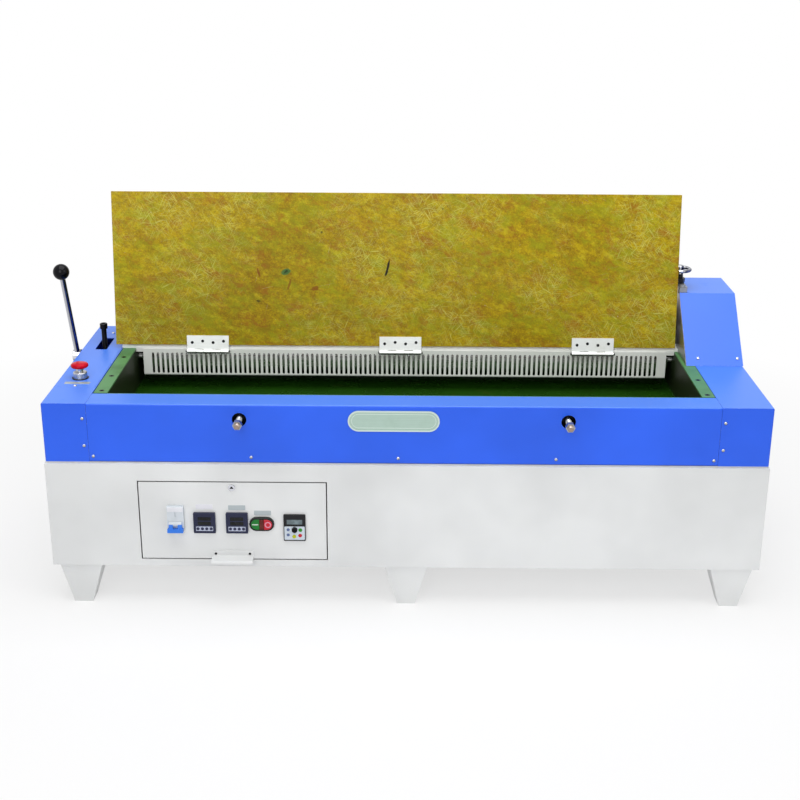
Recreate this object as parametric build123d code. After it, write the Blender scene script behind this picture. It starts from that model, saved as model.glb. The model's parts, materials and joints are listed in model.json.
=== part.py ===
from build123d import *
import math
import os

# Hot melt roller coater, bench-height floor machine, millimetres, +Z up, front towards -Y.
# Until a piece is written it is placed from the machine's own datum:
# X 0 is the middle of the blue body, Y 0 is its front face and Z 0 is the floor.
# Names with "below_deck", "above_deck", "from_left", "from_right", "from_back" or "inset" are
# measured from the body's own sides, so that a piece keeps its seat when the body is resized.

# Overall
body_width = 1560.0
body_depth = 574.0
deck_height = 471.0
upper_height = 133.0
foot_height = 92.0
bed_thickness = 4.0
bed_inset = 1.0
cabinet_proud_side = 2.0
cabinet_proud_front = 4.0

# Sheet metal
cabinet_sheet = 2.0
cabinet_rim = 22.0
cabinet_corner = 1.6
housing_sheet = 2.0
bend_radius = 2.0
seat_gap = 0.3

# Upper housings
left_end_width = 96.0
right_end_width = 111.0
seam_gap = 0.6
lip_depth = 68.0
rear_lip_depth = 24.0
lip_turn_down = 12.0
return_flange = 18.0
top_cover_front = 107.0
top_cover_from_back = 56.0
cover_ledge = 12.0
end_inner_flange = 16.0
gear_opening_front_inset = 12.0
gear_opening_back_inset = 14.0
gear_opening_side_inset = 12.0

# Feet
foot_top_width = 93.0
foot_bottom_width = 41.0
foot_wall = 3.0
foot_side_inset = 14.5
foot_pad = 5.0

# Rollers and their gears
roller_from_back = 92.0
glue_roller_below_deck = 43.0
glue_roller_radius = 50.0
press_roller_radius = 50.0
press_core_radius = 40.0
journal_radius = 17.5
journal_overhang = 6.0
roller_shoulder = 7.0
gear_seat_radius = 14.0
gear_seat_gap = 4.0
running_clearance = 0.05
roller_end_gap = 8.0
press_sleeve_setback = 4.0
gear_module = 3.5
roller_gear_teeth = 29
pinion_teeth = 18
gear_width = 20.0
gear_dish_share = 0.25
pressure_angle = 20.0
tooth_backlash = 0.5
press_lift = 5.0
lift_screw_pitch = 4.0

# Tank
tank_from_left = 128.0
tank_from_right = 140.0
tank_sheet = 3.0
tank_front = 73.0
tank_roller_gap = 8.0
tank_rim_drop = 3.0
tank_rear_rim_rise = 14.0
tank_end_play = 4.0
strip_width_left = 30.0
strip_width_right = 28.0
strip_narrow = 7.6
strip_front = 69.0
strip_back_from_roller = 60.0
tank_screw_front_inset = 15.5
tank_screw_pitches = (0.0, 99.5, 236.5)
tank_screw_radius = 3.0
tank_screw_head_radius = 6.0
heater_radius = 5.5
heater_count = 4
heater_front_inset = 47.0
heater_pitch = 66.0
heater_end_inset = 20.0

# Side plates
plate_thickness = 18.0
plate_from_left = 103.0
plate_from_right = 132.0
plate_left_rise_from_roller = 52.0
plate_left_rake = 6.0
window_width = 72.0
window_floor_below_press = 43.5
bush_outer_radius = 28.0
bush_flange_radius = 36.0
bush_flange = 4.0
lightening_radius = 42.0
lightening_insets = (90.0, 205.0)

# Press roller bearing blocks, bridges, spindles and handwheels
block_height = 78.0
block_flange_lap = 5.0
block_flange = 5.0
block_cap = 6.0
bridge_thickness = 14.0
bridge_depth = 106.0
bridge_width = 22.0
bridge_bolt_inset = 9.0
bridge_bolt_head = 6.5
bridge_bolt_height = 5.0
spindle_radius = 8.0
spindle_collar_radius = 11.0
spindle_collar = 4.0
wheel_above_bridge = 32.3
wheel_radius = 28.0
wheel_rim_radius = 4.0
wheel_hub_radius = 9.0
wheel_hub_height = 20.0
wheel_spoke_count = 3
locknut_flats = 24.0
locknut_height = 11.0

# Gear cover over the right end
hood_height = 137.0
hood_front_from_back = 289.0
hood_top_front_from_back = 149.0
hood_plate_gap = 1.0
hood_inset = 0.6

# Infeed: cross bar, slotted guard, hinges and feed board
bar_front_from_roller = 91.0
bar_bottom_below_deck = 9.0
bar_top_above_deck = 7.0
bar_sheet = 4.0
bar_flange = 32.0
bar_end_clearance = 0.4
bar_left_lap = 7.5
bar_ear = 5.0
guard_sheet = 2.0
guard_inset_left = 17.0
guard_inset_right = 19.0
guard_low_below_deck = 67.0
guard_high_below_deck = 0.4
slot_count = 105
slot_width = 6.0
slot_length = 52.0
slot_low_rise = 5.0
slot_inset_left = 23.5
slot_inset_right = 25.5
guard_return = 10.0
hinge_from_roller = 100.0
board_rest_gap = 0.5
hinge_inset_left = 174.0
hinge_middle_shift = -11.0
hinge_inset_right = 197.0
hinge_width = 100.0
hinge_leaf = 2.0
hinge_pin_radius = 2.5
hinge_leaf_height = 38.0
hinge_back_gap = 0.4
knuckle_count = 5
knuckle_gap = 0.5
knuckle_relief = 1.2
pin_overhang = 3.0
leaf_screw_count = 4
leaf_screw_height = 21.0
leaf_screw_zigzag = 3.5
leaf_screw_radius = 3.6
leaf_screw_head = 1.8
leaf_screw_shank_radius = 2.0
board_left_lap = 46.0
board_right_inset = 0.0
board_length = 363.0
board_thickness = 6.0
board_rise = 14.8
board_lean = 8.5
board_fold = 98.5

# Doctor blade and its lever
shaft_from_roller = 57.0
shaft_below_deck = 30.0
shaft_radius = 6.0
shaft_wall_clearance = 1.0
blade_thickness = 3.0
blade_reach = 27.0
blade_back = 5.0
blade_gap = 0.5
lever_outside = 22.0
lever_hub_radius = 15.0
lever_hub_width = 20.0
lever_lean = 21.0
lever_length = 247.0
lever_rod_radius = 6.5
knob_radius = 18.8
stop_from_left = 46.0
stop_boss_radius = 13.0
stop_boss_width = 24.0
stop_screw_radius = 6.0
stop_head_radius = 9.0
stop_head_height = 12.5
stop_screw_above_deck = 51.5
stop_slot_width = 28.0
stop_slot_length = 92.0
stop_slot_corner = 3.0

# Front adjusters
adjuster_from_left = 422.0
adjuster_from_right = 436.0
adjuster_below_deck = 34.0
adjuster_hole_radius = 15.5
adjuster_radius = 6.0
adjuster_tip = -45.0
adjuster_nut_flats = 18.0
adjuster_nut_width = 13.0
adjuster_nut_setback = 8.0
adjuster_boss_radius = 13.0
adjuster_bracket_y = 38.0
adjuster_bracket_thickness = 6.0
adjuster_bracket_width = 40.0
adjuster_bracket_foot = 26.0

# Badge
badge_x = -28.4
badge_below_deck = 34.5
badge_length = 196.0
badge_height = 47.0
badge_thickness = 2.2
badge_rim = 3.0

# Drive
motor_from_right = 80.0
motor_box_width = 74.0
motor_box_height = 84.0
motor_radius = 38.0
motor_length = 190.0
motor_fin_count = 9
motor_fin_rise = 2.0
motor_end_bell = 36.0
motor_foot = 5.0
pinion_angle = 200.0
output_shaft_radius = 8.0

# Control drawer
drawer_from_left = 198.0
drawer_width = 407.0
drawer_above_foot = 18.5
drawer_below_top = 41.0
drawer_gap = 2.5
drawer_sheet = 2.0
drawer_travel = 250.0
tray_sheet = 1.5
tray_depth = 330.0
tray_side_height = 62.0
tray_side_inset = 12.0
rail_width = 24.0
rail_sheet = 2.0
rail_clearance = 0.3
handle_offset = 200.0
handle_width = 91.0
handle_plate = 15.0
handle_top_rise = 20.5
handle_reach = 24.0
handle_sheet = 3.0
handle_drop = 3.0
handle_corner = 4.0
handle_lip = 4.5
handle_screw_spacing = 75.0
handle_screw_radius = 3.0
lock_offset = 202.6
lock_from_top = 12.0
lock_radius = 5.0
cam_length = 24.0
cam_width = 11.0

# Devices on the control drawer: offsets from its lower left corner, width, height
breaker_place = (78.3, 97.7, 36.0, 60.0)
controller_places = ((140.7, 87.9, 48.0, 48.0), (211.7, 87.9, 48.0, 48.0))
twin_place = (265.9, 85.9, 54.0, 32.0)
keypad_place = (337.6, 77.5, 48.0, 62.0)
cutout_clearance = 0.3
bezel_margin = 3.0
body_margin = 3.5
breaker_proud = 9.0
breaker_depth = 66.0
controller_proud = 6.0
controller_bezel = 5.0
controller_window_depth = 1.5
controller_depth = 72.0
toggle_width = 28.0
toggle_pivot_drop = 11.0
toggle_barrel = 6.0
toggle_throw = 70.0
twin_proud = 7.0
twin_lens_width = 7.0
push_height = 24.0
push_reach = 23.0
push_inner = 5.0
push_stem_radius = 4.0
push_travel = 3.0
push_spacing = 28.0
twin_neck_radius = 7.0
keypad_proud = 5.0
keypad_depth = 60.0
dial_radius = 6.0
dial_height = 6.0
dial_drop = 3.8
keypad_window_low = 8.0
keypad_window_high = 20.0
keypad_window_side = 5.8
keypad_window_depth = 1.0

# Emergency stop
estop_from_left = 47.0
estop_y = 168.0
estop_hole_radius = 11.2
estop_stem_radius = 7.0
estop_stem_gap = 0.3
estop_head_radius = 19.5
estop_above_deck = 36.5
estop_head_height = 17.0
estop_collar_radius = 15.5
estop_collar_height = 15.0
estop_nut_height = 6.0
estop_contact_depth = 38.0
estop_travel = 4.0

# Small fasteners
pan_radius = 3.6
pan_height = 2.4
pan_shank_radius = 2.0
pan_shank_length = 6.0
screw_low_row = 13.0
screw_mid_row = 37.0
screw_high_row = 99.0
screw_end_inset = 9.0
screw_inner_inset_left = 349.0
screw_inner_inset_right = 348.0
screw_middle_x = -18.5
hood_screw_rise = 14.0
hood_screw_inset_left = 28.0
hood_screw_inset_right = 12.0
cover_screw_inset = 6.0

# Cable inlet at the rear
gland_from_right = 280.0
gland_above_foot = 78.0
gland_radius = 15.0
gland_bore = 6.5
gland_length = 30.0

# Worked-out places
left_side = -body_width / 2
right_side = body_width / 2
seam_z = deck_height - upper_height
bay_left = left_side + left_end_width
bay_right = right_side - right_end_width
cabinet_top = seam_z - bed_thickness
cabinet_back = body_depth + cabinet_proud_side
under_deck = deck_height - housing_sheet
top_cover_back = body_depth - top_cover_from_back
roller_y = body_depth - roller_from_back
glue_roller_z = deck_height - glue_roller_below_deck
centre_distance = gear_module * roller_gear_teeth
press_z = glue_roller_z + centre_distance
tank_left = left_side + tank_from_left
tank_right = right_side - tank_from_right
roller_left = tank_left + roller_end_gap
roller_right = tank_right - roller_end_gap
tank_floor = glue_roller_z - glue_roller_radius - tank_roller_gap
tank_back = roller_y + glue_roller_radius + tank_roller_gap
plate_left_face = left_side + plate_from_left
plate_right_face = right_side - plate_from_right
plate_mid_left = plate_left_face + plate_thickness / 2
plate_mid_right = plate_right_face + plate_thickness / 2
plate_front = lip_depth + 2 * seat_gap
plate_back = body_depth - rear_lip_depth - 2 * seat_gap
plate_low_top = deck_height - tank_rim_drop
hood_top = deck_height + hood_height
hood_front = body_depth - hood_front_from_back
hood_top_front = body_depth - hood_top_front_from_back
hood_left = plate_right_face + hood_inset
plate_top = hood_top - housing_sheet - seat_gap
bridge_top = plate_top + bridge_thickness
wheel_height = bridge_top + wheel_above_bridge
window_floor = press_z - window_floor_below_press
gear_left = plate_right_face + plate_thickness + seat_gap + block_flange + gear_seat_gap
gear_right = gear_left + gear_width
pinion_distance = gear_module * (roller_gear_teeth + pinion_teeth) / 2
pinion_y = roller_y + pinion_distance * math.cos(math.radians(pinion_angle))
pinion_z = glue_roller_z + pinion_distance * math.sin(math.radians(pinion_angle))
motor_box_left = right_side - motor_from_right
strip_back = roller_y - strip_back_from_roller
bar_front = roller_y - bar_front_from_roller
bar_bottom = deck_height - bar_bottom_below_deck
bar_top = deck_height + bar_top_above_deck
bar_left = plate_left_face - bar_left_lap
bar_right = plate_right_face - bar_end_clearance
guard_left = tank_left + guard_inset_left
guard_right = tank_right - guard_inset_right
guard_low = deck_height - guard_low_below_deck
guard_high = deck_height - guard_high_below_deck
slot_low = guard_low + slot_low_rise
slot_first = guard_left + slot_inset_left
slot_last = guard_right - slot_inset_right
hinge_y = roller_y - hinge_from_roller
hinge_outer = hinge_pin_radius + hinge_leaf
hinge_z = deck_height + board_rest_gap - hinge_outer
hinge_middle = (tank_left + tank_right) / 2 + hinge_middle_shift
hinge_xs = (tank_left + hinge_inset_left, hinge_middle, tank_right - hinge_inset_right)
board_left = tank_left - board_left_lap
board_right = tank_right - board_right_inset
shaft_y = roller_y - shaft_from_roller
shaft_z = deck_height - shaft_below_deck
lever_x = left_side - lever_outside
stop_x = left_side + stop_from_left
stop_screw_top = deck_height + stop_screw_above_deck
adjuster_xs = (left_side + adjuster_from_left, right_side - adjuster_from_right)
adjuster_z = deck_height - adjuster_below_deck
badge_z = deck_height - badge_below_deck
drawer_left = left_side + drawer_from_left
drawer_right = drawer_left + drawer_width
drawer_low = foot_height + drawer_above_foot
drawer_high = cabinet_top - drawer_below_top
drawer_face = -cabinet_proud_front
handle_x = drawer_left + handle_offset
handle_top = drawer_low + handle_top_rise
lock_x = drawer_left + lock_offset
lock_z = drawer_high - lock_from_top
estop_x = left_side + estop_from_left
estop_head_top = deck_height + estop_above_deck
gland_x = right_side - gland_from_right
gland_z = foot_height + gland_above_foot


def on_drawer(place):
    dx, dz, width, height = place
    return (drawer_left + dx, drawer_low + dz, width, height)


breaker = on_drawer(breaker_place)
controllers = [on_drawer(place) for place in controller_places]
twin = on_drawer(twin_place)
keypad = on_drawer(keypad_place)

# The written pieces have their origin on the floor, in the middle of the whole footprint.
extent_left = lever_x - knob_radius
extent_right = right_side + cabinet_proud_side
extent_front = adjuster_tip
extent_back = cabinet_back + gland_length
origin_x = (extent_left + extent_right) / 2
origin_y = (extent_front + extent_back) / 2


def save(name, *solids):
    moved = [Pos(-origin_x, -origin_y, 0) * solid for solid in solids]
    shape = moved[0] if len(moved) == 1 else Compound(children=moved)
    export_step(shape, f"parts/{name}.step")


def block(x0, x1, y0, y1, z0, z1):
    centre = Pos((x0 + x1) / 2, (y0 + y1) / 2, (z0 + z1) / 2)
    return centre * Box(x1 - x0, y1 - y0, z1 - z0)


def rod_x(x0, x1, y, z, radius):
    return Plane(((x0 + x1) / 2, y, z), z_dir=(1, 0, 0)) * Cylinder(radius, x1 - x0)


def rod_y(x, y0, y1, z, radius):
    return Plane((x, (y0 + y1) / 2, z), z_dir=(0, 1, 0)) * Cylinder(radius, y1 - y0)


def rod_z(x, y, z0, z1, radius):
    return Pos(x, y, (z0 + z1) / 2) * Cylinder(radius, z1 - z0)


def side_plane(x):
    # Local x is the machine's Y, local y its Z, and the normal points to +X.
    return Plane((x, 0, 0), x_dir=(0, 1, 0), z_dir=(1, 0, 0))


def front_plane(y):
    # Local x is the machine's X, local y its Z, and the normal points to the front.
    return Plane((0, y, 0), x_dir=(1, 0, 0), z_dir=(0, -1, 0))


def prism_x(points, x0, x1):
    outline = make_face(Polyline(*points, close=True))
    return side_plane(x0) * extrude(outline, x1 - x0)


def mitre_path(path, thickness):
    # The same path moved to its left by the sheet's thickness.
    moved = []
    for i, (x, y) in enumerate(path):
        normals = []
        if i > 0:
            dx, dy = x - path[i - 1][0], y - path[i - 1][1]
            normals.append((-dy / math.hypot(dx, dy), dx / math.hypot(dx, dy)))
        if i < len(path) - 1:
            dx, dy = path[i + 1][0] - x, path[i + 1][1] - y
            normals.append((-dy / math.hypot(dx, dy), dx / math.hypot(dx, dy)))
        nx = sum(n[0] for n in normals)
        ny = sum(n[1] for n in normals)
        scale = thickness * len(normals) / (nx * nx + ny * ny)
        moved.append((x + nx * scale, y + ny * scale))
    return moved


def folded_sheet(path, thickness, x0, x1):
    # A sheet folded along X with rounded bends. It lies to the left of the path,
    # or to the right of it where the thickness is given as negative.
    other = mitre_path(path, thickness)
    near_radii, far_radii = [], []
    for a, b, c in zip(path, path[1:], path[2:]):
        turn = (b[0] - a[0]) * (c[1] - b[1]) - (b[1] - a[1]) * (c[0] - b[0])
        far_side_inside = turn * thickness > 0
        outer_radius = bend_radius + abs(thickness)
        near_radii.append(outer_radius if far_side_inside else bend_radius)
        far_radii.append(bend_radius if far_side_inside else outer_radius)
    near = FilletPolyline(*path, radius=near_radii)
    far = FilletPolyline(*other, radius=far_radii)
    ends = [Line(path[0], other[0]), Line(path[-1], other[-1])]
    profile = make_face([near, far, *ends])
    return side_plane(x0) * extrude(profile, x1 - x0)


def pan_screw(x, y, z, direction):
    # The head stands on the face at this point, and the shank goes in behind it.
    head = Pos(0, 0, pan_height / 2) * Cylinder(pan_radius, pan_height)
    head = chamfer(head.edges().group_by(Axis.Z)[-1], pan_height * 0.4)
    shank = Pos(0, 0, -pan_shank_length / 2) * Cylinder(pan_shank_radius, pan_shank_length)
    return Plane((x, y, z), z_dir=direction) * (head + shank)


def involute_gear(teeth, bore_radius, tooth_angle):
    # The flat profile, with the middle of one tooth at tooth_angle degrees.
    pitch_radius = gear_module * teeth / 2
    base_radius = pitch_radius * math.cos(math.radians(pressure_angle))
    tip_radius = pitch_radius + gear_module
    root_radius = pitch_radius - 1.25 * gear_module
    inv_pitch = math.tan(math.radians(pressure_angle)) - math.radians(pressure_angle)
    half_pitch_tooth = (math.pi * gear_module - tooth_backlash) / 4 / pitch_radius
    start = max(base_radius, root_radius)
    flank = []
    flank_count = 4
    for i in range(flank_count):
        r = start + (tip_radius - start) * i / (flank_count - 1)
        phi = math.acos(base_radius / r)
        flank.append((r, half_pitch_tooth + inv_pitch - (math.tan(phi) - phi)))
    points = []
    for k in range(teeth):
        middle = math.radians(tooth_angle) + 2 * math.pi * k / teeth
        root_half = flank[0][1]
        points.append((root_radius, middle - root_half))
        points += [(r, middle - half) for r, half in flank if r > root_radius]
        points += [(r, middle + half) for r, half in reversed(flank) if r > root_radius]
        points.append((root_radius, middle + root_half))
    outline = Polyline(*[(r * math.cos(a), r * math.sin(a)) for r, a in points], close=True)
    return make_face(outline) - Circle(bore_radius)


def gear_at(x0, y, z, teeth, bore_radius, tooth_angle):
    profile = involute_gear(teeth, bore_radius, tooth_angle)
    body = extrude(profile, gear_width)
    pitch_radius = gear_module * teeth / 2
    hub_radius = bore_radius + roller_shoulder
    rim_radius = pitch_radius - 3.0 * gear_module
    if rim_radius > hub_radius + 4:
        dish = Circle(rim_radius) - Circle(hub_radius)
        dish_depth = gear_width * gear_dish_share
        body -= extrude(dish, dish_depth)
        body -= Pos(0, 0, gear_width - dish_depth) * extrude(dish, dish_depth)
    return Plane((x0, y, z), x_dir=(0, 1, 0), z_dir=(1, 0, 0)) * body


def cabinet_front(x0, x1, y0):
    # Four flat strips round the drawer's opening, with rounded outer corners.
    y1 = y0 + cabinet_sheet
    opening_left, opening_right = drawer_left - drawer_gap, drawer_right + drawer_gap
    strips = []
    for a, b, corner in ((x0, opening_left, 0), (opening_right, x1, -1)):
        strip = block(a, b, y0, y1, foot_height, cabinet_top)
        front_edges = strip.edges().filter_by(Axis.Z).group_by(Axis.Y)[0]
        strips.append(fillet(front_edges.sort_by(Axis.X)[corner], cabinet_corner))
    strips.append(block(opening_left, opening_right, y0, y1, foot_height, drawer_low - drawer_gap))
    strips.append(block(opening_left, opening_right, y0, y1, drawer_high + drawer_gap, cabinet_top))
    return strips


def base_cabinet():
    # Welded from flat sheets: front, rear, two sides, floor, an inward rim and the drawer's rails.
    x0, x1 = left_side - cabinet_proud_side, right_side + cabinet_proud_side
    y0, y1 = -cabinet_proud_front, cabinet_back
    wall = cabinet_sheet
    rim = cabinet_rim
    rear = block(x0, x1, y1 - wall, y1, foot_height, cabinet_top)
    rear = fillet(rear.edges().filter_by(Axis.Z).group_by(Axis.Y)[-1], cabinet_corner)
    rear -= rod_y(gland_x, y1 - 2 * wall, y1 + wall, gland_z, gland_radius * 0.7 + seat_gap)
    solids = cabinet_front(x0, x1, y0) + [rear]
    inner_x0, inner_x1, inner_y0, inner_y1 = x0 + wall, x1 - wall, y0 + wall, y1 - wall
    for a, b in ((x0, inner_x0), (inner_x1, x1)):
        solids.append(block(a, b, inner_y0, inner_y1, foot_height, cabinet_top))
    solids.append(block(inner_x0, inner_x1, inner_y0, inner_y1, foot_height, foot_height + wall))
    shelf = cabinet_top - wall
    for a, b in ((inner_y0, y0 + rim), (y1 - rim, inner_y1)):
        solids.append(block(inner_x0, inner_x1, a, b, shelf, cabinet_top))
    for a, b in ((inner_x0, x0 + rim), (x1 - rim, inner_x1)):
        solids.append(block(a, b, y0 + rim, y1 - rim, shelf, cabinet_top))
    for tray_edge, sign in ((drawer_left + tray_side_inset, 1), (drawer_right - tray_side_inset, -1)):
        outer = tray_edge - sign * (rail_sheet + rail_clearance)
        middle = outer + sign * rail_sheet
        inner = tray_edge + sign * rail_width
        rail_top = drawer_low + drawer_sheet
        solids.append(block(*sorted((outer, middle)), y0 + 2 * wall, inner_y1, foot_height + wall,
                            rail_top + rail_width))
        solids.append(block(*sorted((middle, inner)), y0 + 2 * wall, inner_y1, rail_top - rail_sheet, rail_top))
    return solids


def foot(x, back):
    # The outward face of a foot is upright, and its other three sides taper.
    front = 0.0 if not back else body_depth
    sign = -1 if back else 1
    top = foot_height
    outer = Plane((x, front + sign * foot_top_width / 2, top)) * Rectangle(foot_top_width, foot_top_width)
    low_centre = front + sign * foot_bottom_width / 2
    base = Plane((x, low_centre, 0)) * Rectangle(foot_bottom_width, foot_bottom_width)
    solid = loft([base, outer])
    w = 2 * foot_wall
    hollow_top = Plane((x, front + sign * foot_top_width / 2, top + 0.01))
    hollow_low = Plane((x, low_centre, foot_pad))
    inner = loft([hollow_low * Rectangle(foot_bottom_width - w, foot_bottom_width - w),
                  hollow_top * Rectangle(foot_top_width - w, foot_top_width - w)])
    return solid - inner


def foot_places():
    edge = body_width / 2 + cabinet_proud_side - foot_side_inset - foot_top_width / 2
    return (-edge, 0.0, edge)


def bed_plate():
    inset = bed_inset
    return block(left_side + inset, right_side - inset, inset, body_depth - inset, cabinet_top, seam_z)


def end_wall_box(x0, x1, inner_side):
    # Outer wall, front, back and top of an end housing, open below and towards the bay.
    s = housing_sheet
    box = block(x0, x1, 0, body_depth, seam_z, deck_height)
    outer_x = x0 if inner_side > 0 else x1
    upright = box.edges().filter_by(Axis.Z)
    outer_edges = [e for e in upright if abs(e.center().X - outer_x) < 0.01]
    top_edges = box.edges().filter_by(Axis.Y).group_by(Axis.Z)[-1]
    outer_edges += [e for e in top_edges if abs(e.center().X - outer_x) < 0.01]
    box = fillet(outer_edges, bend_radius + s)
    if inner_side > 0:
        box -= block(x0 + s, x1 - s, s, body_depth - s, seam_z - s, under_deck)
        box -= block(x1 - 2 * s, x1 + s, s + lip_depth, body_depth - s, seam_z - s, under_deck - end_inner_flange)
    else:
        box -= block(x0 + s, x1 - s, s, body_depth - s, seam_z - s, under_deck)
        box -= block(x0 - s, x0 + 2 * s, s + lip_depth, body_depth - s, seam_z - s, under_deck - end_inner_flange)
    return box


def left_end_housing():
    s = housing_sheet
    x0, x1 = left_side, bay_left - seam_gap / 2
    box = end_wall_box(x0, x1, 1)
    box -= block(x0 + s, x1 - s, top_cover_front, top_cover_back, under_deck - 1, deck_height + 1)
    ledge_z = under_deck - seat_gap
    for y0, y1 in ((top_cover_front - s, top_cover_front + cover_ledge),
                   (top_cover_back - cover_ledge, top_cover_back + s)):
        box += block(x0 + s, x1 - s, y0, y1, ledge_z - s, ledge_z)
    joggle = s + seat_gap
    box += block(x0 + s, x1 - s, top_cover_front - s, top_cover_front, ledge_z - s, ledge_z + joggle)
    box += block(x0 + s, x1 - s, top_cover_back, top_cover_back + s, ledge_z - s, ledge_z + joggle)
    box -= rod_x(x0 - s, x0 + 2 * s, shaft_y, shaft_z, shaft_radius + shaft_wall_clearance)
    return box


def left_top_cover():
    s = housing_sheet
    gap = seam_gap
    y0, y1 = top_cover_front + gap, top_cover_back - gap
    x0, x1 = left_side + s + gap, bay_left - seam_gap / 2 - s - gap
    cover = block(x0, x1, y0, y1, under_deck, deck_height)
    centre = Plane((stop_x, shaft_y, deck_height))
    slot = extrude(centre * RectangleRounded(stop_slot_width, stop_slot_length, stop_slot_corner), -2 * s)
    cover -= slot
    cover -= rod_z(estop_x, estop_y, under_deck - 1, deck_height + 1, estop_hole_radius)
    return cover


def right_end_housing():
    s = housing_sheet
    x0, x1 = bay_right + seam_gap / 2, right_side
    box = end_wall_box(x0, x1, -1)
    opening_front = hood_front + gear_opening_front_inset
    opening_back = body_depth - gear_opening_back_inset
    opening_low = under_deck - end_inner_flange - seat_gap
    box -= block(x0 - s, x1 - gear_opening_side_inset, opening_front, opening_back, opening_low, deck_height + 1)
    return box


def front_fascia():
    x0, x1 = bay_left + seam_gap / 2, bay_right - seam_gap / 2
    s = housing_sheet
    path = [(return_flange, seam_z), (0, seam_z), (0, deck_height), (lip_depth, deck_height),
            (lip_depth, deck_height - lip_turn_down)]
    panel = folded_sheet(path, -s, x0, x1)
    for x in adjuster_xs:
        panel -= rod_y(x, -s, 2 * s, adjuster_z, adjuster_hole_radius)
    return panel


def rear_fascia():
    x0, x1 = bay_left + seam_gap / 2, bay_right - seam_gap / 2
    back = body_depth
    path = [(back - return_flange, seam_z), (back, seam_z), (back, deck_height),
            (back - rear_lip_depth, deck_height), (back - rear_lip_depth, deck_height - lip_turn_down)]
    return folded_sheet(path, housing_sheet, x0, x1)


def hood_slope_y(offset, z):
    # Where the cover's sloping front, moved inwards by an offset, stands at a height.
    rise, run = hood_top - deck_height, hood_top_front - hood_front
    return hood_front + offset * math.hypot(run, rise) / rise + run / rise * (z - deck_height)


def hood_profile(offset, base):
    # The gear cover's outline from the side, moved inwards by an offset.
    top, back = hood_top - offset, body_depth - offset
    return [(hood_slope_y(offset, base), base), (hood_slope_y(offset, top), top), (back, top), (back, base)]


def gear_cover():
    s = housing_sheet
    base = deck_height + seat_gap
    outer = prism_x(hood_profile(0, base), hood_left, right_side)
    long_edges = outer.edges().filter_by(Axis.X).sort_by(Axis.Z)[-2:]
    outer = fillet(long_edges, bend_radius)
    inner = prism_x(hood_profile(s, base - 1), hood_left - s, right_side - s)
    cover = outer - inner
    y0, y1 = roller_y - bridge_depth / 2 - 1, roller_y + bridge_depth / 2 + 1
    notch_right = plate_mid_right + bridge_width / 2 + 1
    cover -= block(hood_left - s, notch_right, y0, y1, hood_top - 2 * s, hood_top + 2 * s)
    return cover


def name_plate():
    outline = front_plane(0) * Pos(badge_x, badge_z) * SlotOverall(badge_length, badge_height)
    field = front_plane(-badge_thickness) * Pos(badge_x, badge_z) * SlotOverall(
        badge_length - 2 * badge_rim, badge_height - 2 * badge_rim)
    plate = extrude(outline, badge_thickness)
    return plate - extrude(field, -badge_thickness * 0.4)


def screw_places():
    # Each panel's screws: a point on its face and the way the screw looks.
    front, up = (0, -1, 0), (0, 0, 1)
    low_row, mid_row, high_row = seam_z + screw_low_row, seam_z + screw_mid_row, seam_z + screw_high_row
    rise = hood_screw_rise
    slope = tuple(Vector(0, deck_height - hood_top, hood_top_front - hood_front).normalized())
    slope_y = hood_slope_y(0, deck_height + rise)
    cover_mid = (left_side + bay_left) / 2
    across = (bay_left + screw_end_inset, bay_left + screw_inner_inset_left, screw_middle_x,
              bay_right - screw_inner_inset_right, bay_right - screw_end_inset)
    hood_across = (hood_left + hood_screw_inset_left, right_side - hood_screw_inset_right)
    cover_ys = (top_cover_front + cover_screw_inset, top_cover_back - cover_screw_inset)
    return {
        "front_fascia": [((x, 0, low_row), front) for x in across],
        "left_end_housing": [((bay_left - screw_end_inset, 0, z), front) for z in (mid_row, high_row)],
        "right_end_housing": [((bay_right + screw_end_inset, 0, z), front) for z in (mid_row, high_row)],
        "gear_cover": [((x, slope_y, deck_height + rise), slope) for x in hood_across],
        "left_top_cover": [((cover_mid, y, deck_height), up) for y in cover_ys],
    }


def drilled(panel, name):
    for place, direction in screw_places()[name]:
        panel -= Plane(place, z_dir=direction) * Cylinder(pan_shank_radius, 2 * pan_shank_length)
    return panel


def panel_screws():
    return [pan_screw(*place, direction) for group in screw_places().values() for place, direction in group]


def tank_end_outline():
    # An end plate's outline: square at the front, and round under the coating roller.
    front, back = tank_front - tank_sheet, tank_back + tank_sheet
    floor = tank_floor - tank_sheet
    radius = glue_roller_radius + tank_roller_gap + tank_sheet
    rim = under_deck - seat_gap
    rear_rim = glue_roller_z + tank_rear_rim_rise
    line = [
        Polyline((roller_y, rear_rim), (roller_y, rim), (front, rim), (front, floor), (roller_y, floor)),
        RadiusArc((roller_y, floor), (back, glue_roller_z), -radius),
        Polyline((back, glue_roller_z), (back, rear_rim), (roller_y, rear_rim)),
    ]
    return make_face(line)


def tank_strips():
    strip_low = deck_height - tank_rim_drop
    step = hood_front + seat_gap
    left = block(tank_left - strip_width_left, tank_left, strip_front, strip_back, strip_low, deck_height)
    right = block(tank_right, tank_right + strip_width_right, strip_front, step, strip_low, deck_height)
    right += block(tank_right, tank_right + strip_narrow, step, strip_back, strip_low, deck_height)
    for x, y in tank_screw_places():
        seat = Pos(x, y, deck_height - tank_rim_drop / 2) * Cone(
            tank_screw_radius, tank_screw_head_radius, tank_rim_drop)
        left -= seat
        right -= seat
    return [left, right]


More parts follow.
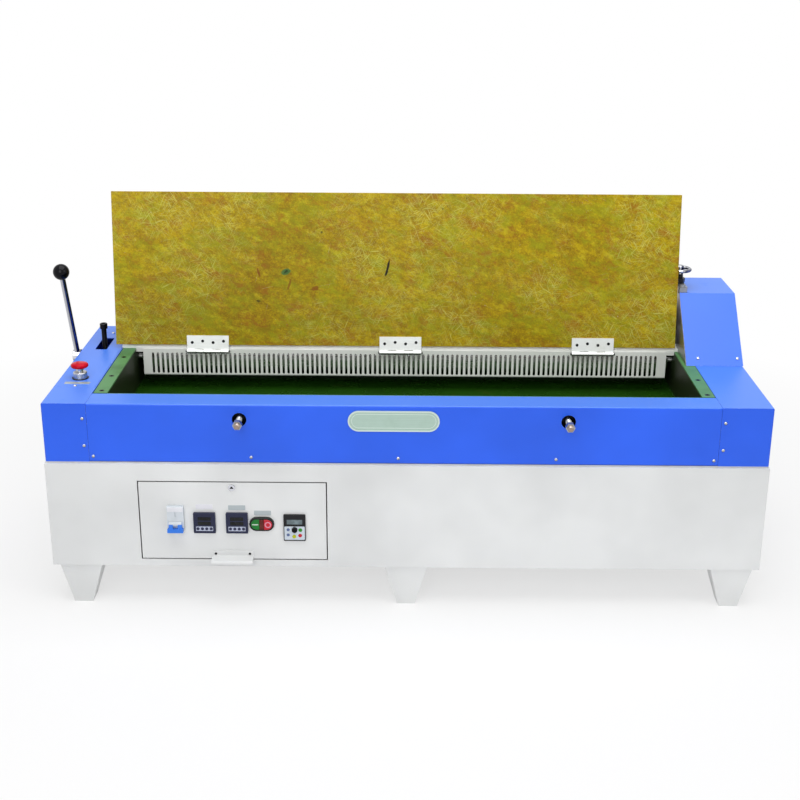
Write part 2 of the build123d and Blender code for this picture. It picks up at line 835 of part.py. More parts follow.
def glue_tank():
    # Welded from a front plate, a floor, a rolled trough, two end plates and two screwed strips.
    s = tank_sheet
    rim = under_deck - seat_gap
    rear_rim = glue_roller_z + tank_rear_rim_rise
    radius = glue_roller_radius + tank_roller_gap
    front = block(tank_left, tank_right, tank_front - s, tank_front, tank_floor - s, rim)
    floor = block(tank_left, tank_right, tank_front, roller_y, tank_floor - s, tank_floor)
    trough = rod_x(tank_left, tank_right, roller_y, glue_roller_z, radius + s)
    trough -= rod_x(tank_left - 1, tank_right + 1, roller_y, glue_roller_z, radius)
    over = glue_roller_z + radius + 2 * s
    trough -= block(tank_left - 1, tank_right + 1, tank_front, roller_y, tank_floor - 2 * s, over)
    trough -= block(tank_left - 1, tank_right + 1, tank_front, body_depth, glue_roller_z, over)
    trough += block(tank_left, tank_right, tank_back, tank_back + s, glue_roller_z, rear_rim)
    strips = tank_strips()
    ends = []
    for x0, strip in zip((tank_left - s, tank_right), strips):
        end = side_plane(x0) * extrude(tank_end_outline(), s)
        end -= rod_x(x0 - 1, x0 + s + 1, roller_y, glue_roller_z, journal_radius + tank_end_play)
        end -= rod_x(x0 - 1, x0 + s + 1, shaft_y, shaft_z, shaft_radius + shaft_wall_clearance)
        ends.append(end - strip)
    return [front, floor, trough, *ends, *strips]


def tank_screw_places():
    ys = [strip_front + tank_screw_front_inset + pitch for pitch in tank_screw_pitches]
    left = [(tank_left - strip_width_left / 2, y) for y in ys]
    right = [(tank_right + strip_width_right / 2, y) for y in ys[:2]]
    return left + right


def tank_screws():
    solids = []
    for x, y in tank_screw_places():
        head = Pos(x, y, deck_height - tank_rim_drop / 2) * Cone(
            tank_screw_radius - running_clearance, tank_screw_head_radius - running_clearance, tank_rim_drop)
        socket = Pos(x, y, deck_height) * extrude(RegularPolygon(tank_screw_radius, 6), -tank_rim_drop / 2)
        solids.append(head - socket)
    return solids


def tank_heaters():
    # Straight tubular elements clipped against the underside of the trough.
    solids = []
    z = tank_floor - tank_sheet - heater_radius
    for i in range(heater_count):
        y = tank_front + heater_front_inset + i * heater_pitch
        solids.append(rod_x(tank_left + heater_end_inset, tank_right - heater_end_inset, y, z, heater_radius))
    return solids


def side_plate(face_x, under_hood):
    low = seam_z
    x0, x1 = face_x, face_x + plate_thickness
    if under_hood:
        behind = housing_sheet + hood_plate_gap
        rise = [(hood_slope_y(behind, z), z) for z in (plate_low_top, plate_top)]
    else:
        rise_y = roller_y - plate_left_rise_from_roller
        rise = [(rise_y, plate_low_top), (rise_y + plate_left_rake, plate_top)]
    points = [(plate_front, low), (plate_front, plate_low_top), *rise,
              (plate_back, plate_top), (plate_back, low)]
    plate = prism_x(points, x0, x1)
    y0, y1 = roller_y - window_width / 2, roller_y + window_width / 2
    plate -= block(x0 - 1, x1 + 1, y0, y1, window_floor, plate_top + 1)
    plate -= rod_x(x0 - 1, x1 + 1, roller_y, glue_roller_z, bush_outer_radius)
    plate -= rod_x(x0 - 1, x1 + 1, shaft_y, shaft_z, shaft_radius + running_clearance)
    for inset in lightening_insets:
        plate -= rod_x(x0 - 1, x1 + 1, plate_front + inset, (low + plate_low_top) / 2, lightening_radius)
    return plate


def glue_roller_bushes():
    solids = []
    for face_x, sign in ((plate_left_face, -1), (plate_right_face + plate_thickness, 1)):
        inner_x = face_x - sign * plate_thickness
        outer_x = face_x + sign * bush_flange
        xs = sorted((inner_x, outer_x))
        body = rod_x(*xs, roller_y, glue_roller_z, bush_outer_radius)
        flange_xs = sorted((face_x, outer_x))
        body += rod_x(*flange_xs, roller_y, glue_roller_z, bush_flange_radius)
        body -= rod_x(xs[0] - 1, xs[1] + 1, roller_y, glue_roller_z, journal_radius + running_clearance)
        solids.append(body)
    return solids


def glue_roller():
    left_end = plate_left_face - bush_flange - journal_overhang
    gear_end = gear_right + journal_overhang
    seat_start = gear_left - gear_seat_gap + 2 * seat_gap
    shoulder = journal_radius + roller_shoulder
    body = rod_x(roller_left, roller_right, roller_y, glue_roller_z, glue_roller_radius)
    ends = body.edges().filter_by(GeomType.CIRCLE)
    body = chamfer(ends, 2.0)
    body += rod_x(left_end, seat_start, roller_y, glue_roller_z, journal_radius)
    neck_left = tank_left + roller_end_gap / 2
    neck_right = tank_right - roller_end_gap / 2
    body += rod_x(neck_left, neck_right, roller_y, glue_roller_z, shoulder)
    body += rod_x(seat_start, gear_end, roller_y, glue_roller_z, gear_seat_radius)
    return body


def press_roller_core():
    block_left = plate_left_face - block_flange - seat_gap
    left_end = block_left - journal_overhang
    gear_end = gear_right + journal_overhang
    seat_start = gear_left - gear_seat_gap + 2 * seat_gap
    body = rod_x(roller_left, roller_right, roller_y, press_z, press_core_radius)
    body += rod_x(left_end, seat_start, roller_y, press_z, journal_radius)
    body += rod_x(seat_start, gear_end, roller_y, press_z, gear_seat_radius)
    return body


def press_roller_sleeve():
    x0, x1 = roller_left + press_sleeve_setback, roller_right - press_sleeve_setback
    sleeve = rod_x(x0, x1, roller_y, press_z, press_roller_radius)
    sleeve = fillet(sleeve.edges().filter_by(GeomType.CIRCLE), 2.0)
    return sleeve - rod_x(x0 - 1, x1 + 1, roller_y, press_z, press_core_radius)


def roller_gear(z, tooth_angle):
    return gear_at(gear_left, roller_y, z, roller_gear_teeth, gear_seat_radius, tooth_angle)


def drive_pinion():
    # The roller gear has a tooth upright, and the pinion's gap stands where the roller gear's tooth is.
    pitch = 360.0 / roller_gear_teeth
    past_tooth = (pinion_angle - 90.0) % pitch
    gap_angle = pinion_angle + 180.0 + past_tooth * roller_gear_teeth / pinion_teeth
    tooth_angle = gap_angle + 180.0 / pinion_teeth
    wheel = gear_at(gear_left, pinion_y, pinion_z, pinion_teeth, output_shaft_radius, tooth_angle)
    shaft_end = motor_box_left + motor_box_width * 0.5
    wheel += rod_x(gear_left - 3, shaft_end, pinion_y, pinion_z, output_shaft_radius)
    return wheel


def drive_gearmotor():
    x0, x1 = motor_box_left, motor_box_left + motor_box_width
    half = motor_box_height / 2
    gearbox = block(x0, x1, pinion_y - half, pinion_y + half, pinion_z - half, pinion_z + half)
    gearbox = fillet(gearbox.edges().filter_by(Axis.X), 8.0)
    bore = output_shaft_radius + running_clearance
    gearbox -= rod_x(x0 - 1, x0 + motor_box_width * 0.5 + 1, pinion_y, pinion_z, bore)
    motor_x = (x0 + x1) / 2
    motor_back = pinion_y - half
    motor_front = motor_back - motor_length
    motor = rod_y(motor_x, motor_front, motor_back, pinion_z, motor_radius - motor_fin_rise)
    fin_pitch = (motor_length - 2 * motor_end_bell) / motor_fin_count
    fin_width = fin_pitch / 4
    for i in range(motor_fin_count):
        y = motor_back - motor_end_bell / 2 - i * fin_pitch
        motor += rod_y(motor_x, y - fin_width, y, pinion_z, motor_radius)
    motor += rod_y(motor_x, motor_front, motor_front + motor_end_bell, pinion_z, motor_radius)
    foot_plate = block(x0, x1, pinion_y - half, pinion_y + half, seam_z, seam_z + motor_foot)
    edge = motor_box_width / 7
    web = block(x0 + edge, x1 - edge, pinion_y - half + edge, pinion_y + half - edge, seam_z, pinion_z)
    shaft_room = rod_x(x0 - 1, x0 + motor_box_width * 0.5 + 1, pinion_y, pinion_z, bore)
    return gearbox + motor + foot_plate + (web - shaft_room)


def press_bearing_blocks():
    solids = []
    half_window = window_width / 2 - seat_gap
    half_flange = window_width / 2 + block_flange_lap
    for face_x in (plate_left_face, plate_right_face):
        x0, x1 = face_x - seat_gap, face_x + plate_thickness + seat_gap
        z0, z1 = press_z - block_height / 2, press_z + block_height / 2
        body = block(x0, x1, roller_y - half_window, roller_y + half_window, z0, z1)
        for a, b in ((x0 - block_flange, x0), (x1, x1 + block_flange)):
            body += block(a, b, roller_y - half_flange, roller_y + half_flange, z0, z1)
        bore = journal_radius + running_clearance
        body -= rod_x(x0 - block_flange - 1, x1 + block_flange + 1, roller_y, press_z, bore)
        pocket = press_z + journal_radius + block_cap
        body -= rod_z(face_x + plate_thickness / 2, roller_y, pocket, z1 + 1, spindle_radius + seat_gap)
        solids.append(body)
    return solids


def spindle_bridges():
    solids = []
    for mid_x in (plate_mid_left, plate_mid_right):
        half_width, half_depth = bridge_width / 2, bridge_depth / 2
        bar = block(mid_x - half_width, mid_x + half_width, roller_y - half_depth, roller_y + half_depth,
                    plate_top, bridge_top)
        bar = fillet(bar.edges().filter_by(Axis.Z), 2 * bend_radius)
        bar -= rod_z(mid_x, roller_y, plate_top - 1, bridge_top + 1, spindle_radius + running_clearance)
        bolt = extrude(RegularPolygon(bridge_bolt_head, 6), bridge_bolt_height)
        for y in (roller_y - half_depth + bridge_bolt_inset, roller_y + half_depth - bridge_bolt_inset):
            bar += Pos(mid_x, y, bridge_top) * bolt
        solids.append(bar)
    return solids


def lift_spindle(mid_x):
    pocket = press_z + journal_radius + block_cap
    tip = pocket + press_lift + 1.0
    under_bridge = plate_top - seat_gap
    spindle = rod_z(mid_x, roller_y, tip, wheel_height + wheel_hub_height * 0.3, spindle_radius)
    spindle += rod_z(mid_x, roller_y, under_bridge - spindle_collar, under_bridge, spindle_collar_radius)
    nut = extrude(RegularPolygon(locknut_flats / 2, 6, major_radius=False), locknut_height)
    return spindle + Pos(mid_x, roller_y, bridge_top + seat_gap) * nut


def handwheel(mid_x):
    rim_path = wheel_radius - wheel_rim_radius
    wheel = Torus(rim_path, wheel_rim_radius)
    half = wheel_hub_height / 2
    hub = Cylinder(wheel_hub_radius, wheel_hub_height)
    hub = chamfer(hub.edges().group_by(Axis.Z)[-1], 2.0)
    spoke = Pos(rim_path / 2, 0, 0) * Box(rim_path, 5.0, 4.0)
    for i in range(wheel_spoke_count):
        hub += Rot(0, 0, 360 * i / wheel_spoke_count + 30) * spoke
    wheel += hub
    bore_top = wheel_hub_height * 0.3
    wheel -= Pos(0, 0, (bore_top - half) / 2) * Cylinder(spindle_radius, half + bore_top)
    return Pos(mid_x, roller_y, wheel_height) * wheel


def guard_bar():
    path = [(bar_front, bar_bottom), (bar_front, bar_top), (bar_front + bar_flange, bar_top)]
    bar = folded_sheet(path, -bar_sheet, tank_left + seat_gap, tank_right - seat_gap)
    low = deck_height + seat_gap
    back = bar_front + bar_flange
    for x0, x1 in ((bar_left, tank_left + 1), (tank_right - 1, bar_right)):
        bar += block(x0, x1, bar_front, back, low, bar_top)
    ear = block(bar_right - bar_ear, bar_right, back - bar_ear, back - bar_ear / 2, bar_top, bar_top + bar_ear)
    return bar + ear


def slotted_guard():
    path = [(bar_front + guard_return, guard_low), (bar_front - guard_sheet, guard_low),
            (bar_front - guard_sheet, guard_high)]
    guard = folded_sheet(path, -guard_sheet, guard_left, guard_right)
    pitch = (slot_last - slot_first) / (slot_count - 1)
    slot_middle = slot_low + slot_length / 2
    slot = Pos(0, slot_middle) * SlotOverall(slot_length, slot_width, rotation=90)
    slots = [Pos(slot_first + i * pitch, 0) * slot for i in range(slot_count)]
    cutters = [extrude(front_plane(bar_front + 1) * s, guard_sheet + 2) for s in slots]
    guard -= cutters
    notch_half = hinge_width / 2 + 1.0
    notch_low = hinge_z - hinge_outer - seat_gap
    for x in hinge_xs:
        guard -= block(x - notch_half, x + notch_half, bar_front - 2 * guard_sheet - 1, bar_front,
                       notch_low, guard_high + 1)
    return guard


def knuckle_spans(x, fixed):
    width = hinge_width / knuckle_count
    start = x - hinge_width / 2
    gap = knuckle_gap / 2
    return [(start + i * width + gap, start + (i + 1) * width - gap)
            for i in range(knuckle_count) if (i % 2 == 1) == fixed]


def fixed_hinge_leaves():
    solids = []
    pin_hole = hinge_pin_radius + running_clearance
    back = bar_front
    plate_y = hinge_y + hinge_outer + hinge_back_gap
    for x in hinge_xs:
        low, high = hinge_z - hinge_outer, hinge_z + hinge_outer - 1.0
        leaf = block(x - hinge_width / 2, x + hinge_width / 2, plate_y, back, low, hinge_z)
        for x0, x1 in knuckle_spans(x, True):
            leaf += rod_x(x0, x1, hinge_y, hinge_z, hinge_outer)
            leaf += block(x0, x1, hinge_y, back, low, high)
            leaf -= rod_x(x0 - 1, x1 + 1, hinge_y, hinge_z, pin_hole)
        solids.append(leaf)
    return solids


def leaned(solid):
    # A piece of the feed board's body, drawn upright, then leaned back about the hinge pins.
    axis = Axis((0, hinge_y, hinge_z), (1, 0, 0))
    return solid.rotate(axis, -board_lean)


def moving_hinge_leaves():
    solids = []
    front = hinge_y + hinge_outer - hinge_leaf
    for x in hinge_xs:
        half = hinge_width / 2
        leaf = block(x - half, x + half, front, front + hinge_leaf, hinge_z, hinge_z + hinge_leaf_height)
        for x0, x1 in knuckle_spans(x, True):
            leaf -= block(x0 - knuckle_gap, x1 + knuckle_gap, front - 1, front + hinge_leaf + 1,
                          hinge_z - 1, hinge_z + hinge_outer + knuckle_relief)
        for x0, x1 in knuckle_spans(x, False):
            leaf += rod_x(x0, x1, hinge_y, hinge_z, hinge_outer)
        leaf -= rod_x(x - half - 1, x + half + 1, hinge_y, hinge_z, hinge_pin_radius)
        for hx, hz in leaf_screw_places(x):
            leaf -= rod_y(hx, front - 1, front + hinge_leaf + 1, hz, leaf_screw_shank_radius)
        solids.append(leaned(leaf))
    return solids


def leaf_screw_places(x):
    pitch = hinge_width / leaf_screw_count
    places = []
    for i in range(leaf_screw_count):
        hx = x + (i + 0.5) * pitch - hinge_width / 2
        hz = hinge_z + leaf_screw_height + (leaf_screw_zigzag if i % 2 else 0)
        places.append((hx, hz))
    return places


def hinge_pins():
    half = hinge_width / 2 + pin_overhang
    return [leaned(rod_x(x - half, x + half, hinge_y, hinge_z, hinge_pin_radius)) for x in hinge_xs]


def hinge_screws():
    solids = []
    front = hinge_y + hinge_outer - hinge_leaf
    back = hinge_y + hinge_outer + board_thickness
    for x in hinge_xs:
        for hx, hz in leaf_screw_places(x):
            head = rod_y(hx, front - leaf_screw_head, front, hz, leaf_screw_radius)
            head = chamfer(head.edges().group_by(Axis.Y)[0], leaf_screw_head / 2)
            shank = rod_y(hx, front, back, hz, leaf_screw_shank_radius)
            solids.append(leaned(head + shank))
    return solids


def feed_board():
    y0 = hinge_y + hinge_outer
    z0 = hinge_z + board_rise
    board = block(board_left, board_right, y0, y0 + board_thickness, z0, z0 + board_length)
    board = chamfer(board.edges().filter_by(Axis.X), 0.6)
    for x in hinge_xs:
        for hx, hz in leaf_screw_places(x):
            board -= rod_y(hx, y0 - 1, y0 + board_thickness + 1, hz, leaf_screw_shank_radius)
    return leaned(board)


def blade_direction():
    # Unit vector from the shaft's axis to the blade's edge, tangent to the roller's surface.
    dy, dz = roller_y - shaft_y, glue_roller_z - shaft_z
    distance = math.hypot(dy, dz)
    towards = math.atan2(dz, dy)
    reach = glue_roller_radius + blade_gap
    angle = towards - math.asin(reach / distance)
    return math.cos(angle), math.sin(angle)


def blade_point(along, forward):
    uy, uz = blade_direction()
    return (shaft_y + along * uy + forward * uz, shaft_z + along * uz - forward * uy)


def doctor_blade():
    t = blade_thickness
    points = [blade_point(-blade_back, 0), blade_point(blade_reach, 0),
              blade_point(blade_reach - t, t), blade_point(-blade_back, t)]
    return prism_x(points, roller_left, roller_right)


def doctor_shaft():
    left_end = lever_x - lever_hub_width / 2
    right_end = plate_right_face + plate_thickness * 0.5
    shaft = rod_x(left_end, right_end, shaft_y, shaft_z, shaft_radius)
    flat = [blade_point(-20, 0), blade_point(20, 0), blade_point(20, 20), blade_point(-20, 20)]
    shaft -= prism_x(flat, roller_left, roller_right)
    half = stop_boss_width / 2
    shaft += rod_x(stop_x - half, stop_x + half, shaft_y, shaft_z, stop_boss_radius)
    return shaft


def lever_frame():
    lean = math.radians(lever_lean)
    return Plane((lever_x, shaft_y, shaft_z), x_dir=(1, 0, 0), z_dir=(0, -math.sin(lean), math.cos(lean)))


def lever_arm():
    # The hub on the end of the shaft with the rod welded into it.
    half = lever_hub_width / 2
    hub = rod_x(lever_x - half, lever_x + half, shaft_y, shaft_z, lever_hub_radius)
    hub = chamfer(hub.edges().filter_by(GeomType.CIRCLE), 1.5)
    top_end = lever_length - knob_radius * 0.4
    rod = lever_frame() * Pos(0, 0, top_end / 2) * Cylinder(lever_rod_radius, top_end)
    return hub + rod - rod_x(lever_x - half - 1, lever_x + half + 1, shaft_y, shaft_z, shaft_radius)


def lever_knob():
    top_end = lever_length - knob_radius * 0.4
    ball = Pos(0, 0, lever_length) * Sphere(knob_radius)
    flat = Pos(0, 0, lever_length - knob_radius) * Box(60, 60, 3.0)
    bore_low = lever_length - knob_radius - 2
    bore = Pos(0, 0, (bore_low + top_end) / 2) * Cylinder(lever_rod_radius, top_end - bore_low)
    return lever_frame() * (ball - flat - bore)


def stop_screw():
    foot_z = shaft_z + stop_boss_radius
    head_low = stop_screw_top - stop_head_height
    screw = rod_z(stop_x, shaft_y, foot_z, head_low, stop_screw_radius)
    head = rod_z(stop_x, shaft_y, head_low, stop_screw_top, stop_head_radius)
    head = chamfer(head.edges().group_by(Axis.Z)[-1], 1.0)
    socket = Pos(stop_x, shaft_y, stop_screw_top) * extrude(RegularPolygon(5.0, 6, major_radius=False), -6.0)
    return screw + (head - socket)


def adjuster(x):
    rod = rod_y(x, adjuster_tip, tank_front - tank_sheet - seat_gap, adjuster_z, adjuster_radius)
    rod = chamfer(rod.edges().group_by(Axis.Y)[0], 1.2)
    nut_front = adjuster_tip + adjuster_nut_setback
    outline = front_plane(nut_front + adjuster_nut_width) * Pos(x, adjuster_z) * RegularPolygon(
        adjuster_nut_flats / 2, 6, major_radius=False)
    return rod + extrude(outline, adjuster_nut_width)


def adjuster_brackets():
    solids = []
    y0 = adjuster_bracket_y
    half = adjuster_bracket_width / 2
    for x in adjuster_xs:
        path = [(y0 + adjuster_bracket_foot, seam_z), (y0, seam_z), (y0, adjuster_z + adjuster_boss_radius)]
        plate = folded_sheet(path, -adjuster_bracket_thickness, x - half, x + half)
        t = adjuster_bracket_thickness
        plate += rod_y(x, y0 - t, y0 + 2 * t, adjuster_z, adjuster_boss_radius)
        plate -= rod_y(x, y0 - 2 * t, y0 + 3 * t, adjuster_z, adjuster_radius + running_clearance)
        solids.append(plate)
    return solids


def device_cutout(centre_x, centre_z, width, height):
    half_w, half_h = width / 2 + cutout_clearance, height / 2 + cutout_clearance
    return block(centre_x - half_w, centre_x + half_w, drawer_face - 1, drawer_face + drawer_sheet + 1,
                 centre_z - half_h, centre_z + half_h)


def body_cutouts():
    # The opening behind each bezel is smaller than the bezel by its margin on each side.
    cutters = [device_cutout(*breaker)]
    for x, z, w, h in (*controllers, keypad):
        cutters.append(device_cutout(x, z, w - 2 * bezel_margin, h - 2 * bezel_margin))
    for offset in (-push_spacing / 2, push_spacing / 2):
        cutters.append(rod_y(twin[0] + offset, drawer_face - 1, drawer_face + drawer_sheet + 1, twin[1],
                             twin_neck_radius + cutout_clearance))
    return cutters


def handle_screw_xs():
    return (handle_x - handle_screw_spacing / 2, handle_x + handle_screw_spacing / 2)


def drawer_front():
    s = drawer_sheet
    panel = block(drawer_left, drawer_right, drawer_face, drawer_face + s, drawer_low, drawer_high)
    panel = fillet(panel.edges().filter_by(Axis.Y), 1.5)
    for cutter in body_cutouts():
        panel -= cutter
    panel -= rod_y(lock_x, drawer_face - 1, drawer_face + s + 1, lock_z, lock_radius)
    return panel


def drawer_tray():
    s = tray_sheet
    x0, x1 = drawer_left + tray_side_inset, drawer_right - tray_side_inset
    y0 = drawer_face + drawer_sheet
    y1 = y0 + tray_depth
    z0 = drawer_low + drawer_sheet + rail_clearance
    tray = block(x0, x1, y0, y1, z0, z0 + tray_side_height)
    tray -= block(x0 + s, x1 - s, y0 + s, y1 - s, z0 + s, z0 + tray_side_height + 1)
    front_low = min(z - h / 2 for _, z, _, h in (breaker, *controllers, twin, keypad)) - tray_side_inset
    tray -= block(x0 + s, x1 - s, y0 - 1, y0 + 2 * s, front_low, z0 + tray_side_height + 1)
    return tray


def drawer_handle():
    y0 = drawer_face
    shelf = handle_top - handle_plate - handle_drop
    path = [(y0, handle_top), (y0, handle_top - handle_plate), (y0 - handle_reach, shelf),
            (y0 - handle_reach, shelf - handle_lip)]
    half = handle_width / 2
    handle = folded_sheet(path, -handle_sheet, handle_x - half, handle_x + half)
    corners = [e for e in handle.edges().filter_by(Axis.Y) if abs(e.center().Z - handle_top) < 0.1]
    lip_end = shelf - handle_lip
    corners += [e for e in handle.edges().filter_by(Axis.Y) if abs(e.center().Z - lip_end) < 0.1]
    handle = fillet(corners, handle_corner)
    for x in handle_screw_xs():
        handle -= rod_y(x, y0 - 2 * handle_sheet, y0 + 1, handle_top - handle_plate / 2, handle_screw_radius)
    return handle


def drawer_lock():
    face = drawer_face
    barrel = rod_y(lock_x, face - 1.5, face + 20, lock_z, lock_radius - running_clearance)
    head = rod_y(lock_x, face - 1.5, face - seat_gap, lock_z, lock_radius + 2.5)
    body = barrel + head
    key = extrude(front_plane(face - 1.5) * Pos(lock_x, lock_z) * RegularPolygon(3.0, 3), -6.0)
    body -= key
    cam_y = face + 15
    cam = block(lock_x - cam_length, lock_x + cam_width / 2, cam_y, cam_y + 3,
                lock_z - cam_width / 2, lock_z + cam_width / 2)
    return body + cam


def breaker_body():
    x, z, w, h = breaker
    face = drawer_face - breaker_proud
    body = block(x - w / 2, x + w / 2, face, drawer_face + breaker_depth, z - h / 2, z + h / 2)
    body = chamfer(body.edges().filter_by(Axis.X).group_by(Axis.Y)[0], 2.5)
    pivot_z = z - toggle_pivot_drop
    room = toggle_barrel + seat_gap
    body -= rod_x(x - toggle_width / 2 - seat_gap, x + toggle_width / 2 + seat_gap, face + 1.0, pivot_z, room)
    body -= block(x - 0.6, x + 0.6, face - 1, face + 2.0, z + 6, z + h / 2 + 1)
    return body


def breaker_toggle():
    # Two tied levers on one barrel, down at rest.
    x, z, w, h = breaker
    face = drawer_face - breaker_proud
    pivot_y, pivot_z = face + 1.0, z - toggle_pivot_drop
    toggle = rod_x(x - toggle_width / 2, x + toggle_width / 2, pivot_y, pivot_z, toggle_barrel)
    width = 9.0
    for centre in (x - toggle_width / 4, x + toggle_width / 4):
        points = [(pivot_y, pivot_z + 3), (pivot_y - 12, pivot_z - 10), (pivot_y - 11, pivot_z - 13),
                  (pivot_y - 4, pivot_z - 6)]
        toggle += prism_x(points, centre - width / 2, centre + width / 2)
    return toggle


def temperature_controllers():
    solids = []
    for x, z, w, h in controllers:
        face = drawer_face - controller_proud
        bezel = block(x - w / 2, x + w / 2, face, drawer_face, z - h / 2, z + h / 2)
        bezel = fillet(bezel.edges().filter_by(Axis.Y), 2.0)
        b = controller_bezel
        bezel -= block(x - w / 2 + b, x + w / 2 - b, face - 1, face + controller_window_depth,
                       z - h / 2 + b, z + h / 2 - b)
        margin = body_margin
        body = block(x - w / 2 + margin, x + w / 2 - margin, drawer_face - 1, drawer_face + controller_depth,
                     z - h / 2 + margin, z + h / 2 - margin)
        solids.append(bezel + body)
    return solids


def push_outline(side, grow):
    # A button's face: round on its outer end and straight on its inner end.
    pill = SlotOverall(2 * (push_reach + grow), push_height + 2 * grow)
    inner, outer = push_inner - grow, push_reach + 2 * grow
    half = Pos(side * (inner + outer) / 2, 0) * Rectangle(outer - inner, 2 * push_height)
    return pill & half


def twin_button_housing():
    x, z, w, h = twin
    face = drawer_face - twin_proud
    shell = extrude(front_plane(drawer_face) * Pos(x, z) * SlotOverall(w, h), twin_proud)
    shell = chamfer(shell.edges().group_by(Axis.Y)[0], 1.5)
    half_width = push_spacing / 2 + twin_neck_radius
    back = drawer_face + drawer_sheet
    shell += block(x - half_width, x + half_width, back, back + 40, z - h * 0.4, z + h * 0.4)
    for offset in (-push_spacing / 2, push_spacing / 2):
        shell += rod_y(x + offset, drawer_face - 1, back + 1, z, twin_neck_radius)
    pocket_floor = drawer_face - 1.0
    for side in (-1, 1):
        outline = front_plane(pocket_floor) * Pos(x, z) * push_outline(side, seat_gap)
        shell -= extrude(outline, twin_proud)
        shell -= rod_y(x + side * push_spacing / 2, face - 1, back + 6, z, push_stem_radius + seat_gap)
    return shell


def push_button(side, proud):
    x, z = twin[0], twin[1]
    face = drawer_face - twin_proud
    cap_back = drawer_face - 1.0 - push_travel - seat_gap
    outline = front_plane(cap_back) * Pos(x, z) * push_outline(side, 0)
    cap = extrude(outline, cap_back - face + proud)
    cap = chamfer(cap.edges().group_by(Axis.Y)[0], 0.6)
    stem_back = drawer_face + drawer_sheet + 6.0 - push_travel - seat_gap
    return cap + rod_y(x + side * push_spacing / 2, cap_back - 1, stem_back, z, push_stem_radius)


def inverter_keypad():
    x, z, w, h = keypad
    face = drawer_face - keypad_proud
    frame = block(x - w / 2, x + w / 2, face, drawer_face, z - h / 2, z + h / 2)
    frame = fillet(frame.edges().filter_by(Axis.Y), 2.0)
    margin = body_margin
    frame += block(x - w / 2 + margin, x + w / 2 - margin, drawer_face - 1, drawer_face + keypad_depth,
                   z - h / 2 + margin, z + h / 2 - margin)
    frame -= block(x - w / 2 + keypad_window_side, x + w / 2 - keypad_window_side, face - 1,
                   face + keypad_window_depth, z + keypad_window_low, z + keypad_window_high)
    frame -= rod_y(x, face - 1, face + dial_height + 1, z - dial_drop, dial_radius / 2 + seat_gap)
    return frame


def speed_dial():
    x, z = keypad[0], keypad[1] - dial_drop
    face = drawer_face - keypad_proud
    dial = rod_y(x, face - dial_height, face - seat_gap, z, dial_radius)
    dial = chamfer(dial.edges().group_by(Axis.Y)[0], 1.0)
    flute_count = 10
    for i in range(flute_count):
        a = 2 * math.pi * i / flute_count
        r = dial_radius + 0.6
        dial -= rod_y(x + r * math.cos(a), face - dial_height - 1, face - 2, z + r * math.sin(a), 1.1)
    return dial + rod_y(x, face - 1, face + dial_height, z, dial_radius / 2)


def estop_housing():
    base = deck_height
    collar = rod_z(estop_x, estop_y, base, base + estop_collar_height, estop_collar_radius)
    collar = chamfer(collar.edges().group_by(Axis.Z)[-1], 1.5)
    nut_low = under_deck - estop_nut_height - seat_gap
    body = collar + rod_z(estop_x, estop_y, under_deck - 2, base + 1, estop_hole_radius - seat_gap)
    body += rod_z(estop_x, estop_y, nut_low, under_deck - seat_gap, estop_hole_radius + 4)
    contact_low = nut_low - estop_contact_depth
    body += block(estop_x - estop_head_radius, estop_x + estop_head_radius, estop_y - estop_collar_radius,
                  estop_y + estop_collar_radius, contact_low, nut_low)
    return body - rod_z(estop_x, estop_y, nut_low, base + estop_collar_height + 1, estop_stem_radius + estop_stem_gap)


def estop_mushroom():
    top, low = estop_head_top, estop_head_top - estop_head_height
    r = estop_head_radius
    stem = estop_stem_radius
    nut_low = under_deck - estop_nut_height - seat_gap
    stem_low = nut_low + estop_travel + seat_gap
    outline = [(0, top), (r * 0.55, top), (r * 0.85, top - 2.2), (r, top - 6), (r * 0.97, top - 9),
               (r * 0.55, low + 2), (stem + 2, low), (stem, low), (stem, stem_low), (0, stem_low)]
    profile = make_face(Polyline(*outline, close=True))
    head = revolve(Plane((0, 0, 0), x_dir=(1, 0, 0), z_dir=(0, -1, 0)) * profile, Axis.Z)
    return Pos(estop_x, estop_y, 0) * head


def cable_gland():
    back = cabinet_back
    body = rod_y(gland_x, back, back + 8, gland_z, gland_radius)
    body += rod_y(gland_x, back - 8, back + gland_length, gland_z, gland_radius * 0.7)
    body += rod_y(gland_x, back - 8, back - cabinet_sheet - seat_gap, gland_z, gland_radius)
    body = chamfer(body.edges().group_by(Axis.Y)[-1], 2.0)
    return body - rod_y(gland_x, back - 9, back + gland_length + 1, gland_z, gland_bore)


